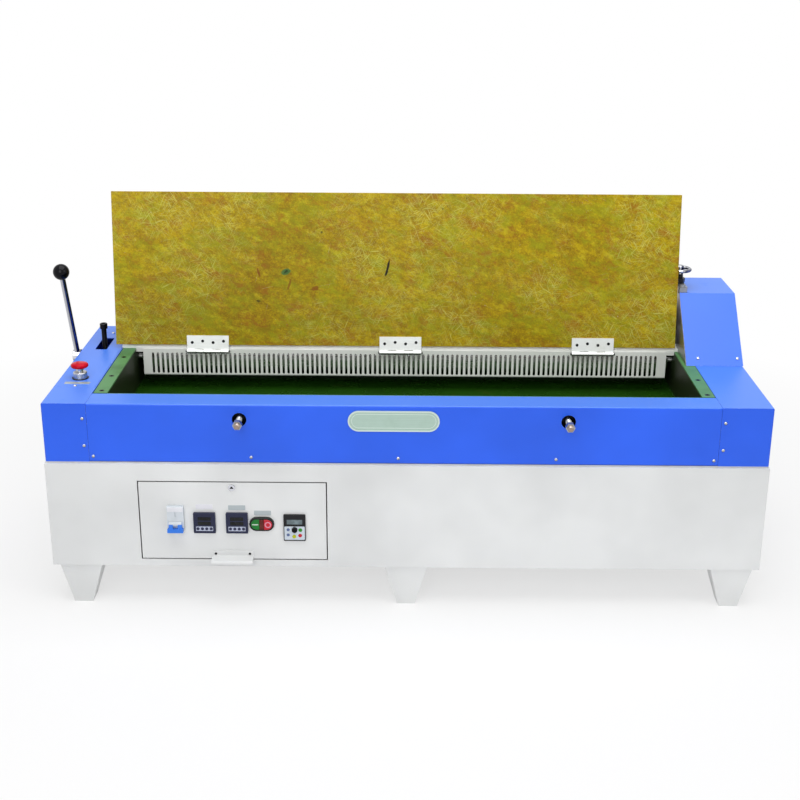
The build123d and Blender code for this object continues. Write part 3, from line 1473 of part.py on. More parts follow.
def main():
    os.makedirs("parts", exist_ok=True)

    save("base_cabinet", *base_cabinet())
    save("feet", *[foot(x, back) for back in (False, True) for x in foot_places()])
    save("bed_plate", bed_plate())
    save("left_end_housing", drilled(drilled(left_end_housing(), "left_end_housing"), "left_top_cover"))
    save("left_top_cover", drilled(left_top_cover(), "left_top_cover"))
    save("right_end_housing", drilled(right_end_housing(), "right_end_housing"))
    save("front_fascia", drilled(front_fascia(), "front_fascia"))
    save("rear_fascia", rear_fascia())
    save("gear_cover", drilled(gear_cover(), "gear_cover"))
    save("name_plate", name_plate())
    save("panel_screws", *panel_screws())
    save("cable_gland", cable_gland())

    save("glue_tank", *glue_tank())
    save("tank_screws", *tank_screws())
    save("tank_heaters", *tank_heaters())
    save("side_plate_left", side_plate(plate_left_face, False))
    save("side_plate_right", side_plate(plate_right_face, True))
    save("glue_roller_bushes", *glue_roller_bushes())
    save("spindle_bridges", *spindle_bridges())
    save("drive_gearmotor", drive_gearmotor())
    save("drive_pinion", drive_pinion())

    save("glue_roller", glue_roller())
    save("glue_roller_gear", roller_gear(glue_roller_z, 90.0))
    save("press_bearing_blocks", *press_bearing_blocks())
    save("press_roller_core", press_roller_core())
    save("press_roller_sleeve", press_roller_sleeve())
    gap_down = 270.0 + 180.0 / roller_gear_teeth
    save("press_roller_gear", roller_gear(press_z, gap_down))
    save("lift_spindle_left", lift_spindle(plate_mid_left))
    save("lift_spindle_right", lift_spindle(plate_mid_right))
    save("handwheel_left", handwheel(plate_mid_left))
    save("handwheel_right", handwheel(plate_mid_right))

    save("guard_bar", guard_bar())
    save("slotted_guard", slotted_guard())
    save("fixed_hinge_leaves", *fixed_hinge_leaves())
    save("moving_hinge_leaves", *moving_hinge_leaves())
    save("hinge_pins", *hinge_pins())
    save("hinge_screws", *hinge_screws())
    save("feed_board", feed_board())

    save("doctor_shaft", doctor_shaft())
    save("doctor_blade", doctor_blade())
    save("lever_arm", lever_arm())
    save("lever_knob", lever_knob())
    save("stop_screw", stop_screw())
    save("adjuster_brackets", *adjuster_brackets())
    save("adjuster_left", adjuster(adjuster_xs[0]))
    save("adjuster_right", adjuster(adjuster_xs[1]))

    save("drawer_front", drawer_front())
    save("drawer_tray", drawer_tray())
    save("drawer_handle", drawer_handle())
    save("drawer_lock", drawer_lock())
    save("breaker_body", breaker_body())
    save("breaker_toggle", breaker_toggle())
    save("temperature_controllers", *temperature_controllers())
    save("twin_button_housing", twin_button_housing())
    save("start_button", push_button(-1, 0.4))
    save("stop_button", push_button(1, 1.2))
    save("inverter_keypad", inverter_keypad())
    save("speed_dial", speed_dial())
    save("estop_housing", estop_housing())
    save("estop_mushroom", estop_mushroom())


main()
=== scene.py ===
import json
import math

import bmesh
import bpy
from mathutils import Matrix, Quaternion, Vector


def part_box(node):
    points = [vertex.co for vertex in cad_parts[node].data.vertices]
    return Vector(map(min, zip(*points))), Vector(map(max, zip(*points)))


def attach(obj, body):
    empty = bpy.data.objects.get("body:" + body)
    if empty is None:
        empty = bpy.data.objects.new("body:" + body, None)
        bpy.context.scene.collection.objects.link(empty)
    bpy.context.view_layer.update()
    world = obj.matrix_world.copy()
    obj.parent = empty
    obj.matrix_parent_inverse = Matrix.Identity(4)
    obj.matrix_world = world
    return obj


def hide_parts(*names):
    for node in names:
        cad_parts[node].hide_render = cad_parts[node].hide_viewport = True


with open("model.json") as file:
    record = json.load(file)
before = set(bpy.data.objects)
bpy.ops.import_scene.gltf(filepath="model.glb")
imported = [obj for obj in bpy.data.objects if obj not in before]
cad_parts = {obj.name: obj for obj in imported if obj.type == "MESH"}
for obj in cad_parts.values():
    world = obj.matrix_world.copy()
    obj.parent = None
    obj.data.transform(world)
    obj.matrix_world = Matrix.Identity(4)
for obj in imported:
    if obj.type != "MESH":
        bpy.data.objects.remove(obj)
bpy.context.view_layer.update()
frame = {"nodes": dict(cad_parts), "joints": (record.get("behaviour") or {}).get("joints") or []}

bl_info = {
    "name": "Hot Melt Roller Coater",
    "version": (1, 0, 0),
    "blender": (4, 5, 0),
    "location": "View3D > Sidebar > Roller Coater",
    "description": "Finishes and fittings of a hot melt roller coater with a folding feed board",
    "category": "Object",
}

cabinet_low, cabinet_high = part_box("base_cabinet")
# The machine's own datum: the casing's middle, its front face and the floor.
datum = Vector(((cabinet_low.x + cabinet_high.x) / 2, cabinet_low.y + 0.004, 0.0))


def at(x, y, z):
    """A place given in millimetres from the machine's datum, in metres in the frame."""
    return datum + Vector((x, y, z)) / 1000.0


def joint_place(name):
    return Vector(next(j["pos_m"] for j in frame["joints"] if j["name"] == name))


# Shader maths


class Value:
    """A number socket, or a plain number, that takes part in shader maths."""

    def __init__(self, finish, socket):
        self.finish = finish
        self.socket = socket

    def _maths(self, operation, *operands):
        node = self.finish.node("ShaderNodeMath", {"operation": operation}, dict(enumerate(operands)))
        return node["Value"]

    def __add__(self, other):
        return self._maths("ADD", self, other)

    def __radd__(self, other):
        return self._maths("ADD", other, self)

    def __sub__(self, other):
        return self._maths("SUBTRACT", self, other)

    def __rsub__(self, other):
        return self._maths("SUBTRACT", other, self)

    def __mul__(self, other):
        return self._maths("MULTIPLY", self, other)

    def __rmul__(self, other):
        return self._maths("MULTIPLY", other, self)

    def __truediv__(self, other):
        return self._maths("DIVIDE", self, other)

    def __rtruediv__(self, other):
        return self._maths("DIVIDE", other, self)

    def __pow__(self, other):
        return self._maths("POWER", self, other)

    def __gt__(self, other):
        return self._maths("GREATER_THAN", self, other)

    def __lt__(self, other):
        return self._maths("LESS_THAN", self, other)

    def __abs__(self):
        return self._maths("ABSOLUTE", self)

    def greater(self, other):
        return self._maths("MAXIMUM", self, other)


class Placed:
    """A node whose outputs are read by name."""

    def __init__(self, finish, node):
        self.finish = finish
        self.node = node

    def __getitem__(self, name):
        return Value(self.finish, self.node.outputs[name])


class Finish:
    """A material, its shader and the nodes that vary it over the surface."""

    def __init__(self, name, color, roughness, metallic=0.0, **constants):
        self.material = bpy.data.materials.new(name + "_finish")
        self.material.use_nodes = True
        self.material.diffuse_color = (*color, 1.0)
        self.tree = self.material.node_tree
        self.tree.nodes.clear()
        self.shader = self.tree.nodes.new("ShaderNodeBsdfPrincipled")
        output = self.tree.nodes.new("ShaderNodeOutputMaterial")
        self.output = output
        self.tree.links.new(self.shader.outputs["BSDF"], output.inputs["Surface"])
        self.shader.inputs["Base Color"].default_value = (*color, 1.0)
        self.shader.inputs["Roughness"].default_value = roughness
        self.shader.inputs["Metallic"].default_value = metallic
        for socket, value in constants.items():
            self.shader.inputs[socket.replace("_", " ")].default_value = value
        self.bump_link = None
        self._place = None

    def node(self, kind, settings=None, sockets=None):
        node = self.tree.nodes.new(kind)
        for key, value in (settings or {}).items():
            if key == "stops":
                ramp = node.color_ramp
                while len(ramp.elements) < len(value):
                    ramp.elements.new(1.0)
                for element, (where, shade) in zip(ramp.elements, value):
                    element.position = where
                    element.color = shade
            else:
                setattr(node, key, value)
        for key, value in (sockets or {}).items():
            target = node.inputs[key]
            if isinstance(value, Value):
                self.tree.links.new(value.socket, target)
            else:
                target.default_value = value
        return Placed(self, node)

    @property
    def place(self):
        if self._place is None:
            self._place = self.node("ShaderNodeTexCoord")["Object"]
        return self._place

    def stretched(self, x, y, z):
        """The object's own coordinates with each axis scaled."""
        mapping = self.node("ShaderNodeMapping", {}, {"Vector": self.place, "Scale": (x, y, z)})
        return mapping["Vector"]

    def axis(self, letter):
        return self.node("ShaderNodeSeparateXYZ", {}, {"Vector": self.place})[letter]

    def noise(self, scale, detail=2.0, roughness=0.5, where=None, distortion=0.0):
        return self.node("ShaderNodeTexNoise", {}, {
            "Vector": where or self.place, "Scale": scale, "Detail": detail,
            "Roughness": roughness, "Distortion": distortion})["Fac"]

    def cells(self, scale, where=None, feature="F1"):
        return self.node("ShaderNodeTexVoronoi", {"feature": feature}, {
            "Vector": where or self.place, "Scale": scale})["Distance"]

    def between(self, value, low, high):
        """0 below low and 1 above high, straight between them. Low may be the larger."""
        return self.node("ShaderNodeMapRange", {"clamp": True}, {
            "Value": value, "From Min": low, "From Max": high, "To Min": 0.0, "To Max": 1.0})["Result"]

    def edges(self, radius, gain=3.0):
        """1 on outer edges and 0 on flats, from a normal rounded at this radius in metres. The paints,
        laminate and coating use it for worn edges, the metals and plastics for a painted highlight.
        """
        rounded = self.node("ShaderNodeBevel", {"samples": 4}, {"Radius": radius})["Normal"]
        true = self.node("ShaderNodeNewGeometry")["True Normal"]
        same = self.node("ShaderNodeVectorMath", {"operation": "DOT_PRODUCT"}, {0: rounded, 1: true})["Value"]
        return self.between(1.0 - same, 0.02, 0.02 + 1.0 / gain)

    def crevices(self, distance, samples=4):
        """1 in open places and towards 0 in corners."""
        return self.node("ShaderNodeAmbientOcclusion", {"samples": samples}, {"Distance": distance})["AO"]

    def upward(self):
        """How far a face looks up: 1 on a level top."""
        normal = self.node("ShaderNodeNewGeometry")["Normal"]
        return self.node("ShaderNodeSeparateXYZ", {}, {"Vector": normal})["Z"]

    def shaded_sides(self):
        """1 on faces turned downwards and less to the right, where bright metal takes a painted dark
        reflection of the room.
        """
        normal = self.node("ShaderNodeNewGeometry")["Normal"]
        parts = self.node("ShaderNodeSeparateXYZ", {}, {"Vector": normal})
        return (self.between(parts["X"], 0.05, 0.55) * 0.4).greater(self.between(parts["Z"], 0.05, -0.45))

    def mixed(self, share, first, second):
        """A colour between two, each given as three numbers or as a colour socket."""
        def shade(value):
            return value if isinstance(value, Value) else (*value, 1.0)
        node = self.node("ShaderNodeMix", {"data_type": "RGBA"})
        for index, value in ((0, share), (6, shade(first)), (7, shade(second))):
            if isinstance(value, Value):
                self.tree.links.new(value.socket, node.node.inputs[index])
            else:
                node.node.inputs[index].default_value = value
        return Value(self, node.node.outputs[2])

    def feed(self, socket, value):
        self.tree.links.new(value.socket, self.shader.inputs[socket])

    def relief(self, height, depth, strength=1.0):
        """Bumps of this height in metres, laid over those already there."""
        sockets = {"Height": height, "Distance": depth, "Strength": strength}
        if self.bump_link:
            sockets["Normal"] = self.bump_link
        self.bump_link = self.node("ShaderNodeBump", {}, sockets)["Normal"]
        self.feed("Normal", self.bump_link)


# Finishes


def powder_coat(name, color, roughness, worn, grime=0.5, shine=0.5, painted_top_light=None):
    """Sprayed and baked paint: orange peel, clouding, rubbed edges, smears, and a painted lighter tone on
    faces that look up, where the light falls.
    """
    finish = Finish(name, color, roughness, Specular_IOR_Level=shine)
    cloud = finish.noise(3.5, 3.0)
    darker = tuple(c * 0.90 for c in color)
    lighter = tuple(min(1.0, c * 1.05 + 0.004) for c in color)
    base = finish.mixed(finish.between(cloud, 0.35, 0.65), darker, lighter)
    smear = finish.between(finish.noise(14.0, 5.0, 0.7, finish.stretched(1.0, 1.0, 0.35)), 0.58, 0.80)
    dust = tuple(c * 0.75 + 0.05 for c in color)
    base = finish.mixed(smear * 0.25 * grime, base, dust)
    if painted_top_light:
        # Faces that look up are mixed towards a lighter colour: painted light on the tops.
        level = finish.between(finish.upward(), 0.45, 0.98) * (0.86 + cloud * 0.28)
        base = finish.mixed(level, base, painted_top_light)
    speckle = finish.noise(160.0, 3.0, 0.65)
    rub = finish.edges(0.0016) * finish.between(speckle, 0.50, 0.62)
    base = finish.mixed(rub * 0.55, base, worn)
    finish.feed("Base Color", base)
    finish.feed("Roughness", roughness + smear * 0.12 + (cloud - 0.5) * 0.06)
    finish.relief(finish.noise(900.0, 2.0), 0.00006, 0.5)
    finish.relief(cloud, 0.0006, 0.15)
    return finish.material


def brushed(name, color, roughness, grain, stain=0.3, scratch=0.5, dark_reflection=0.0, front_end=None):
    """Metal with its grain along one axis, scratches and faint stains, a painted highlight on outer edges, a
    painted dark reflection on faces turned down and right, and a front end in its own colour.
    """
    finish = Finish(name, color, roughness, 1.0)
    long_grain = finish.stretched(*grain)
    lines = finish.noise(900.0, 3.0, 0.6, long_grain)
    patches = finish.noise(22.0, 4.0, 0.6)
    tinted = tuple(c * k for c, k in zip(color, (0.62, 0.58, 0.52)))
    base = finish.mixed(finish.between(patches, 0.5, 0.75) * stain, color, tinted)
    base = finish.mixed(finish.between(lines, 0.35, 0.65) * 0.22, base, tuple(c * 0.72 for c in color))
    bright = tuple(min(1.0, c * 1.25) for c in color)
    # Outer edges lighter: a painted highlight.
    base = finish.mixed(finish.edges(0.0008) * 0.4, base, bright)
    # Faces turned down and to the right are darkened: a painted dark reflection.
    if dark_reflection:
        base = finish.mixed(finish.shaded_sides() * dark_reflection, base, tuple(c * 0.08 for c in color))
    if front_end:
        depth, tint = front_end
        base = finish.mixed(finish.between(finish.axis("Y"), depth + 0.0002, depth - 0.0002), base, tint)
    finish.feed("Base Color", base)
    finish.feed("Roughness", roughness + (lines - 0.5) * 0.16 + finish.between(patches, 0.5, 0.75) * 0.14)
    finish.relief(lines, 0.00003, scratch)
    return finish.material


def plated(name, color, roughness=0.08):
    """Bright plating in a white room, its reflections painted into the colour: pale on the left, a dark
    streak, blue-black to the right and below, and darker on lying faces.
    """
    finish = Finish(name, color, roughness, 1.0)
    haze = finish.noise(30.0, 4.0, 0.6)
    pits = finish.cells(420.0)
    normal = finish.node("ShaderNodeNewGeometry")["Normal"]
    parts = finish.node("ShaderNodeSeparateXYZ", {}, {"Vector": normal})
    # The colour follows the normal's X: a painted reflection of the room.
    sweep = parts["X"] * 0.5 + 0.5
    pale, reflected_dark, reflected_blue = tuple(c * 0.86 for c in color), (0.012, 0.013, 0.024), (0.075, 0.092, 0.260)
    painted_reflection = finish.node("ShaderNodeValToRGB", {"stops": (
        (0.02, (*reflected_dark, 1.0)), (0.07, (*pale, 1.0)), (0.50, (*color, 1.0)), (0.66, (*reflected_dark, 1.0)),
        (0.78, (*reflected_blue, 1.0)), (0.98, (*reflected_dark, 1.0)))}, {"Fac": sweep})["Color"]
    # Lying faces darker: a painted reflection.
    lying = finish.between(abs(parts["Z"]), 0.55, 0.85)
    base = finish.mixed(lying, painted_reflection, tuple(c * 0.42 for c in color))
    # Faces turned down go near-black: a painted dark reflection.
    base = finish.mixed(finish.between(parts["Z"], -0.20, -0.60) * 0.9, base, reflected_dark)
    base = finish.mixed(finish.between(haze, 0.5, 0.72) * 0.3, base, tuple(c * 0.55 for c in color))
    base = finish.mixed(finish.between(pits, 0.07, 0.03) * 0.5, base, (0.16, 0.15, 0.14))
    finish.feed("Base Color", base)
    finish.feed("Roughness", roughness + finish.between(haze, 0.48, 0.75) * 0.16)
    finish.relief(finish.noise(260.0, 2.0), 0.00002, 0.3)
    return finish.material


def moulded(name, color, roughness, grain=0.00004, shine=0.25):
    """Moulded plastic with a fine spark-eroded grain, a painted highlight on edges and painted shade in
    corners.
    """
    finish = Finish(name, color, roughness, Specular_IOR_Level=shine)
    drift = finish.noise(26.0, 3.0)
    lighter = tuple(min(1.0, c * 1.18 + 0.012) for c in color)
    base = finish.mixed(finish.between(drift, 0.35, 0.7), tuple(c * 0.88 for c in color), color)
    # Edges lighter: a painted highlight.
    base = finish.mixed(finish.edges(0.0007) * 0.6, base, lighter)
    # Corners darker where ambient occlusion finds them: painted shade.
    corner = finish.between(finish.crevices(0.004), 0.55, 0.15)
    base = finish.mixed(corner * 0.35, base, tuple(c * 0.5 + 0.02 for c in color))
    finish.feed("Base Color", base)
    finish.feed("Roughness", roughness + (drift - 0.5) * 0.12)
    finish.relief(finish.noise(1500.0, 2.0), grain, 0.5)
    return finish.material


# Marks on the feed board: middle X and Z, half width, half height, lean, shade and strength.
DARK, SPILL, BURN = (0.012, 0.008, 0.003), (0.030, 0.150, 0.040), (0.230, 0.060, 0.004)
BOARD_MARKS = (
    (-0.0285, 0.6680, 0.0030, 0.0200, 0.22, DARK, 1.0),
    (-0.0320, 0.6540, 0.0034, 0.0080, 0.40, DARK, 0.95),
    (-0.2700, 0.6560, 0.0120, 0.0085, 0.60, SPILL, 0.85),
    (-0.2690, 0.6570, 0.0040, 0.0040, 0.60, DARK, 0.70),
    (-0.3350, 0.6540, 0.0030, 0.0130, -0.30, BURN, 0.80),
    (-0.2620, 0.6260, 0.0030, 0.0150, 0.30, BURN, 0.70),
    (-0.2010, 0.6170, 0.0090, 0.0060, 0.20, BURN, 0.75),
    (-0.3360, 0.5860, 0.0050, 0.0030, -0.50, DARK, 0.70),
    (-0.1850, 0.7480, 0.0030, 0.0030, 0.00, DARK, 0.70),
)


def amber_laminate(name, dark, light):
    """Worn glass-and-resin laminate: cloudy amber, glass strands, scuffs, pale scratches and dark marks."""
    finish = Finish(name, light, 0.45, Specular_IOR_Level=0.18)

    def along(turn, across, upward):
        """The board's own coordinates turned in its plane, then stretched."""
        lie = finish.node("ShaderNodeMapping", {}, {
            "Vector": finish.place, "Rotation": (0.0, turn, 0.0)})["Vector"]
        return finish.node("ShaderNodeMapping", {}, {"Vector": lie, "Scale": (across, 1.0, upward)})["Vector"]

    broad = finish.noise(5.0, 5.0, 0.6, along(-0.25, 0.7, 1.5))
    mottle = finish.noise(58.0, 9.0, 0.80, along(-0.35, 0.8, 1.3))
    grain = finish.noise(250.0, 4.0, 0.75)
    tone = finish.between(broad * 0.16 + mottle * 0.50 + grain * 0.34, 0.440, 0.565)
    base = finish.mixed(tone, dark, light)
    olive = finish.between(finish.noise(15.0, 9.0, 0.80, along(-0.2, 0.8, 1.4)), 0.47, 0.58)
    base = finish.mixed(olive * 0.55, base, (0.290, 0.330, 0.006))
    rust = finish.between(finish.noise(24.0, 9.0, 0.82, along(-0.4, 0.8, 1.3)), 0.52, 0.61)
    base = finish.mixed(rust * 0.72, base, (0.330, 0.120, 0.006))
    glow = finish.between(finish.noise(27.0, 9.0, 0.82, along(-0.3, 0.8, 1.5)), 0.535, 0.63)
    base = finish.mixed(glow * 0.48, base, (0.680, 0.560, 0.016))
    strands = None
    for turn in (0.35, 1.15, -0.55, -1.25, 0.80, 0.05, -0.95):
        one = finish.between(finish.noise(1.0, 1.0, 0.4, along(turn, 24.0, 620.0)), 0.635, 0.72)
        strands = one if strands is None else strands.greater(one)
    x, z = finish.axis("X"), finish.axis("Z")
    off_x, off_z = (x + 0.541) / 0.085, (z - 0.812) / 0.060
    tuft = finish.between(off_x * off_x + off_z * off_z, 1.0, 0.1)
    gate = finish.between(finish.noise(6.0, 4.0, 0.6), 0.42, 0.62).greater(tuft)
    base = finish.mixed(strands * gate * 0.64, base, (0.66, 0.66, 0.15))
    flecks = finish.between(finish.noise(170.0, 4.0, 0.85), 0.650, 0.685)
    crowd = finish.between(finish.noise(11.0, 4.0, 0.6), 0.48, 0.66)
    scuff = flecks * crowd.greater(tuft)
    base = finish.mixed(scuff * 0.90, base, (0.76, 0.74, 0.50))
    for turn, reach in ((0.22, 0.72), (-0.45, 0.735), (1.3, 0.725), (0.9, 0.73)):
        scratch = finish.between(finish.noise(1.0, 3.0, 0.6, along(turn, 10.0, 520.0)), reach, reach + 0.03)
        base = finish.mixed(scratch * 0.45, base, (0.74, 0.70, 0.44))
    drops = finish.cells(22.0)
    pick = finish.between(finish.noise(60.0, 1.0), 0.56, 0.60)
    base = finish.mixed(finish.between(drops, 0.050, 0.025) * pick * 0.85, base, (0.055, 0.035, 0.004))
    ragged = (finish.noise(110.0, 5.0, 0.7) - 0.5) * 0.010
    for spot_x, spot_z, wide, high, lean, shade, share in BOARD_MARKS:
        rise = z - spot_z
        dx = (x - spot_x - rise * lean + ragged * 0.3) / wide
        dz = (rise + ragged) / high
        mark = finish.between(dx * dx + dz * dz, 1.1, 0.5)
        base = finish.mixed(mark * share, base, shade)
    edge = finish.edges(0.0015)
    base = finish.mixed(edge * 0.5, base, (0.20, 0.15, 0.04))
    finish.feed("Base Color", base)
    finish.feed("Roughness", 0.42 + scuff * 0.3 + (mottle - 0.5) * 0.15)
    finish.relief(mottle, 0.0004, 0.3)
    finish.relief(strands, 0.00008, 0.4)
    return finish.material


def release_coating(name, strip, shaded_wall, floor):
    """Baked non-stick coating: green on the strips, the walls near-black as dark green with painted shade
    under the guard, a dark film on the floor.
    """
    finish = Finish(name, strip, 0.34, Specular_IOR_Level=0.25)
    height = finish.axis("Z")
    inside = finish.between(height, 0.4676, 0.4668)
    low = finish.between(height, 0.3780, 0.3712)
    drift = finish.noise(11.0, 4.0, 0.6)
    # Inside walls take a near-black colour: the dark green coating with painted shade.
    base = finish.mixed(inside, strip, shaded_wall)
    base = finish.mixed(low, base, floor)
    base = finish.mixed(finish.between(drift, 0.45, 0.7) * 0.40, base, tuple(c * 0.45 for c in floor))
    pick = finish.between(finish.noise(30.0, 1.0), 0.56, 0.60)
    red = finish.between(finish.cells(9.0), 0.045, 0.020) * pick
    base = finish.mixed(red * inside * 0.8, base, (0.30, 0.02, 0.02))
    dribble = finish.between(finish.noise(26.0, 5.0, 0.7, finish.stretched(1.0, 1.0, 0.25)), 0.60, 0.72)
    base = finish.mixed(dribble * inside * 0.4, base, (0.055, 0.060, 0.012))
    worn = finish.edges(0.0012) * finish.between(finish.noise(120.0, 3.0), 0.45, 0.6)
    base = finish.mixed(worn * 0.5, base, (0.22, 0.32, 0.20))
    finish.feed("Base Color", base)
    finish.feed("Roughness", 0.38 - low * 0.16 + drift * 0.10)
    finish.relief(drift, 0.0009, 0.35)
    finish.relief(finish.noise(420.0, 2.0), 0.00006, 0.4)
    return finish.material


def ground_rubber(name, color):
    """Silicone rubber ground to size: fine rings round the roller and a dusty bloom."""
    finish = Finish(name, color, 0.62)
    rings = finish.noise(700.0, 2.0, 0.6, finish.stretched(1.0, 0.02, 0.02))
    bloom = finish.noise(16.0, 5.0, 0.65)
    base = finish.mixed(finish.between(bloom, 0.45, 0.75) * 0.4, color, tuple(c * 0.6 + 0.16 for c in color))
    base = finish.mixed(finish.between(rings, 0.4, 0.6) * 0.15, base, tuple(c * 0.7 for c in color))
    finish.feed("Base Color", base)
    finish.feed("Roughness", 0.55 + (bloom - 0.5) * 0.2)
    finish.relief(rings, 0.00004, 0.5)
    return finish.material


def dark_lens(name, color, roughness=0.08):
    """A smoked window over a display, with finger haze."""
    finish = Finish(name, color, roughness, Specular_IOR_Level=0.25)
    haze = finish.noise(70.0, 4.0, 0.6)
    base = finish.mixed(finish.between(haze, 0.45, 0.7), color, tuple(c * 1.6 + 0.01 for c in color))
    finish.feed("Base Color", base)
    finish.feed("Roughness", roughness + finish.between(haze, 0.45, 0.8) * 0.2)
    return finish.material


def studio_floor(name):
    """A pale floor that keeps the object's shadow and runs out to white away from it."""
    finish = Finish(name, (0.86, 0.86, 0.86), 0.9)
    grain = finish.noise(4.0, 3.0)
    finish.feed("Base Color", finish.mixed(grain, (0.85, 0.85, 0.85), (0.87, 0.87, 0.87)))
    away = finish.node("ShaderNodeVectorMath", {"operation": "LENGTH"}, {0: finish.place})["Value"]
    path = finish.node("ShaderNodeLightPath")
    seen = path["Is Camera Ray"].greater(path["Is Glossy Ray"]).greater(path["Is Transmission Ray"])
    share = (finish.between(away, 0.8, 2.0) * 0.38 + 0.62) * seen
    white = finish.node("ShaderNodeEmission", {}, {"Color": (1.0, 1.0, 1.0, 1.0), "Strength": 1.0})
    both = finish.node("ShaderNodeMixShader", {}, {"Fac": share})
    finish.tree.links.new(finish.shader.outputs["BSDF"], both.node.inputs[1])
    finish.tree.links.new(white.node.outputs["Emission"], both.node.inputs[2])
    finish.tree.links.new(both.node.outputs["Shader"], finish.output.inputs["Surface"])
    return finish.material


materials = {}


# Mesh making


def new_piece(name, mesh, body, material, stands_for=()):
    """Hangs a finished mesh on its body, with its material and the CAD nodes that it stands for."""
    piece = bpy.data.objects.new(name, mesh)
    bpy.context.scene.collection.objects.link(piece)
    if material and not mesh.materials:
        mesh.materials.append(materials[material])
    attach(piece, body)
    if stands_for:
        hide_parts(*stands_for)
    return piece


def mesh_from(name, bm, smooth_angle=35.0):
    bmesh.ops.remove_doubles(bm, verts=bm.verts, dist=1e-6)
    bmesh.ops.recalc_face_normals(bm, faces=bm.faces)
    for face in bm.faces:
        face.smooth = True
    limit = math.radians(smooth_angle)
    for edge in bm.edges:
        edge.smooth = len(edge.link_faces) == 2 and edge.calc_face_angle(0.0) < limit
    mesh = bpy.data.meshes.new(name)
    bm.to_mesh(mesh)
    bm.free()
    return mesh


def turned_to(direction, place):
    """Moves a shape drawn up the Z axis so that it stands at a place along a direction."""
    turn = Vector((0, 0, 1)).rotation_difference(Vector(direction)).to_matrix().to_4x4()
    return Matrix.Translation(place) @ turn


def facing_front(place):
    """Moves a shape drawn flat in X and Y, rising in Z, onto an upright front face."""
    turn = Matrix(((1, 0, 0, 0), (0, 0, -1, 0), (0, 1, 0, 0), (0, 0, 0, 1)))
    return Matrix.Translation(place) @ turn


def add_lathe(bm, profile, matrix, segments=48):
    """A closed turned shape: the profile is (radius, height) in millimetres, from end to end."""
    rings = []
    for radius, height in profile:
        if radius < 1e-6:
            rings.append([bm.verts.new(matrix @ (Vector((0, 0, height)) / 1000))])
            continue
        ring = []
        for i in range(segments):
            a = 2 * math.pi * i / segments
            spot = Vector((radius * math.cos(a), radius * math.sin(a), height)) / 1000
            ring.append(bm.verts.new(matrix @ spot))
        rings.append(ring)
    for low, high in zip(rings, rings[1:]):
        for i in range(segments):
            j = (i + 1) % segments
            if len(low) == 1 and len(high) == 1:
                continue
            if len(low) == 1:
                bm.faces.new((low[0], high[j], high[i]))
            elif len(high) == 1:
                bm.faces.new((low[i], low[j], high[0]))
            else:
                bm.faces.new((low[i], low[j], high[j], high[i]))
    for ring in (rings[0], rings[-1]):
        if len(ring) > 1:
            bm.faces.new(ring)


def rounded_outline(width, height, radius, steps=5):
    """Corners of a rounded rectangle round the middle, in millimetres."""
    points = []
    radius = min(radius, width / 2 - 0.001, height / 2 - 0.001)
    for corner in range(4):
        a0 = corner * math.pi / 2
        cx = (width / 2 - radius) * (1 if corner in (0, 3) else -1)
        cy = (height / 2 - radius) * (1 if corner in (0, 1) else -1)
        for i in range(steps + 1):
            a = a0 + math.pi / 2 * i / steps
            points.append((cx + radius * math.cos(a), cy + radius * math.sin(a)))
    return points


def join_rings(bm, rings):
    """Faces between each ring of corners and the next one."""
    for low, high in zip(rings, rings[1:]):
        for i in range(len(low)):
            j = (i + 1) % len(low)
            bm.faces.new((low[i], low[j], high[j], high[i]))


def add_slab(bm, outline, thickness, matrix, edge=0.0):
    """A plate drawn flat, rising by its thickness, with its top edge chamfered by edge."""
    levels = [(0.0, 0.0), (thickness - edge, 0.0)]
    if edge > 0:
        levels.append((thickness, edge))
    cx = sum(p[0] for p in outline) / len(outline)
    cy = sum(p[1] for p in outline) / len(outline)
    rings = []
    for height, inset in levels:
        ring = []
        for x, y in outline:
            dx, dy = x - cx, y - cy
            reach = max(math.hypot(dx, dy), 1e-6)
            k = (reach - inset) / reach
            ring.append(bm.verts.new(matrix @ (Vector((cx + dx * k, cy + dy * k, height)) / 1000)))
        rings.append(ring)
    join_rings(bm, rings)
    bm.faces.new(list(reversed(rings[0])))
    bm.faces.new(rings[-1])


def islands(node):
    """The corner points of each separate solid in a CAD node."""
    bm = bmesh.new()
    bm.from_mesh(frame["nodes"][node].data)
    bmesh.ops.remove_doubles(bm, verts=bm.verts, dist=1e-6)
    seen, found = set(), []
    for start in bm.verts:
        if start in seen:
            continue
        stack, spots = [start], []
        seen.add(start)
        while stack:
            vert = stack.pop()
            spots.append(vert.co.copy())
            for edge in vert.link_edges:
                other = edge.other_vert(vert)
                if other not in seen:
                    seen.add(other)
                    stack.append(other)
        found.append(spots)
    bm.free()
    return found


def boxes(node):
    """Middle, lowest and highest corner of each separate solid in a CAD node."""
    found = []
    for spots in islands(node):
        low = Vector([min(s[i] for s in spots) for i in range(3)])
        high = Vector([max(s[i] for s in spots) for i in range(3)])
        found.append(((low + high) / 2, low, high))
    return found


# Geometry Nodes


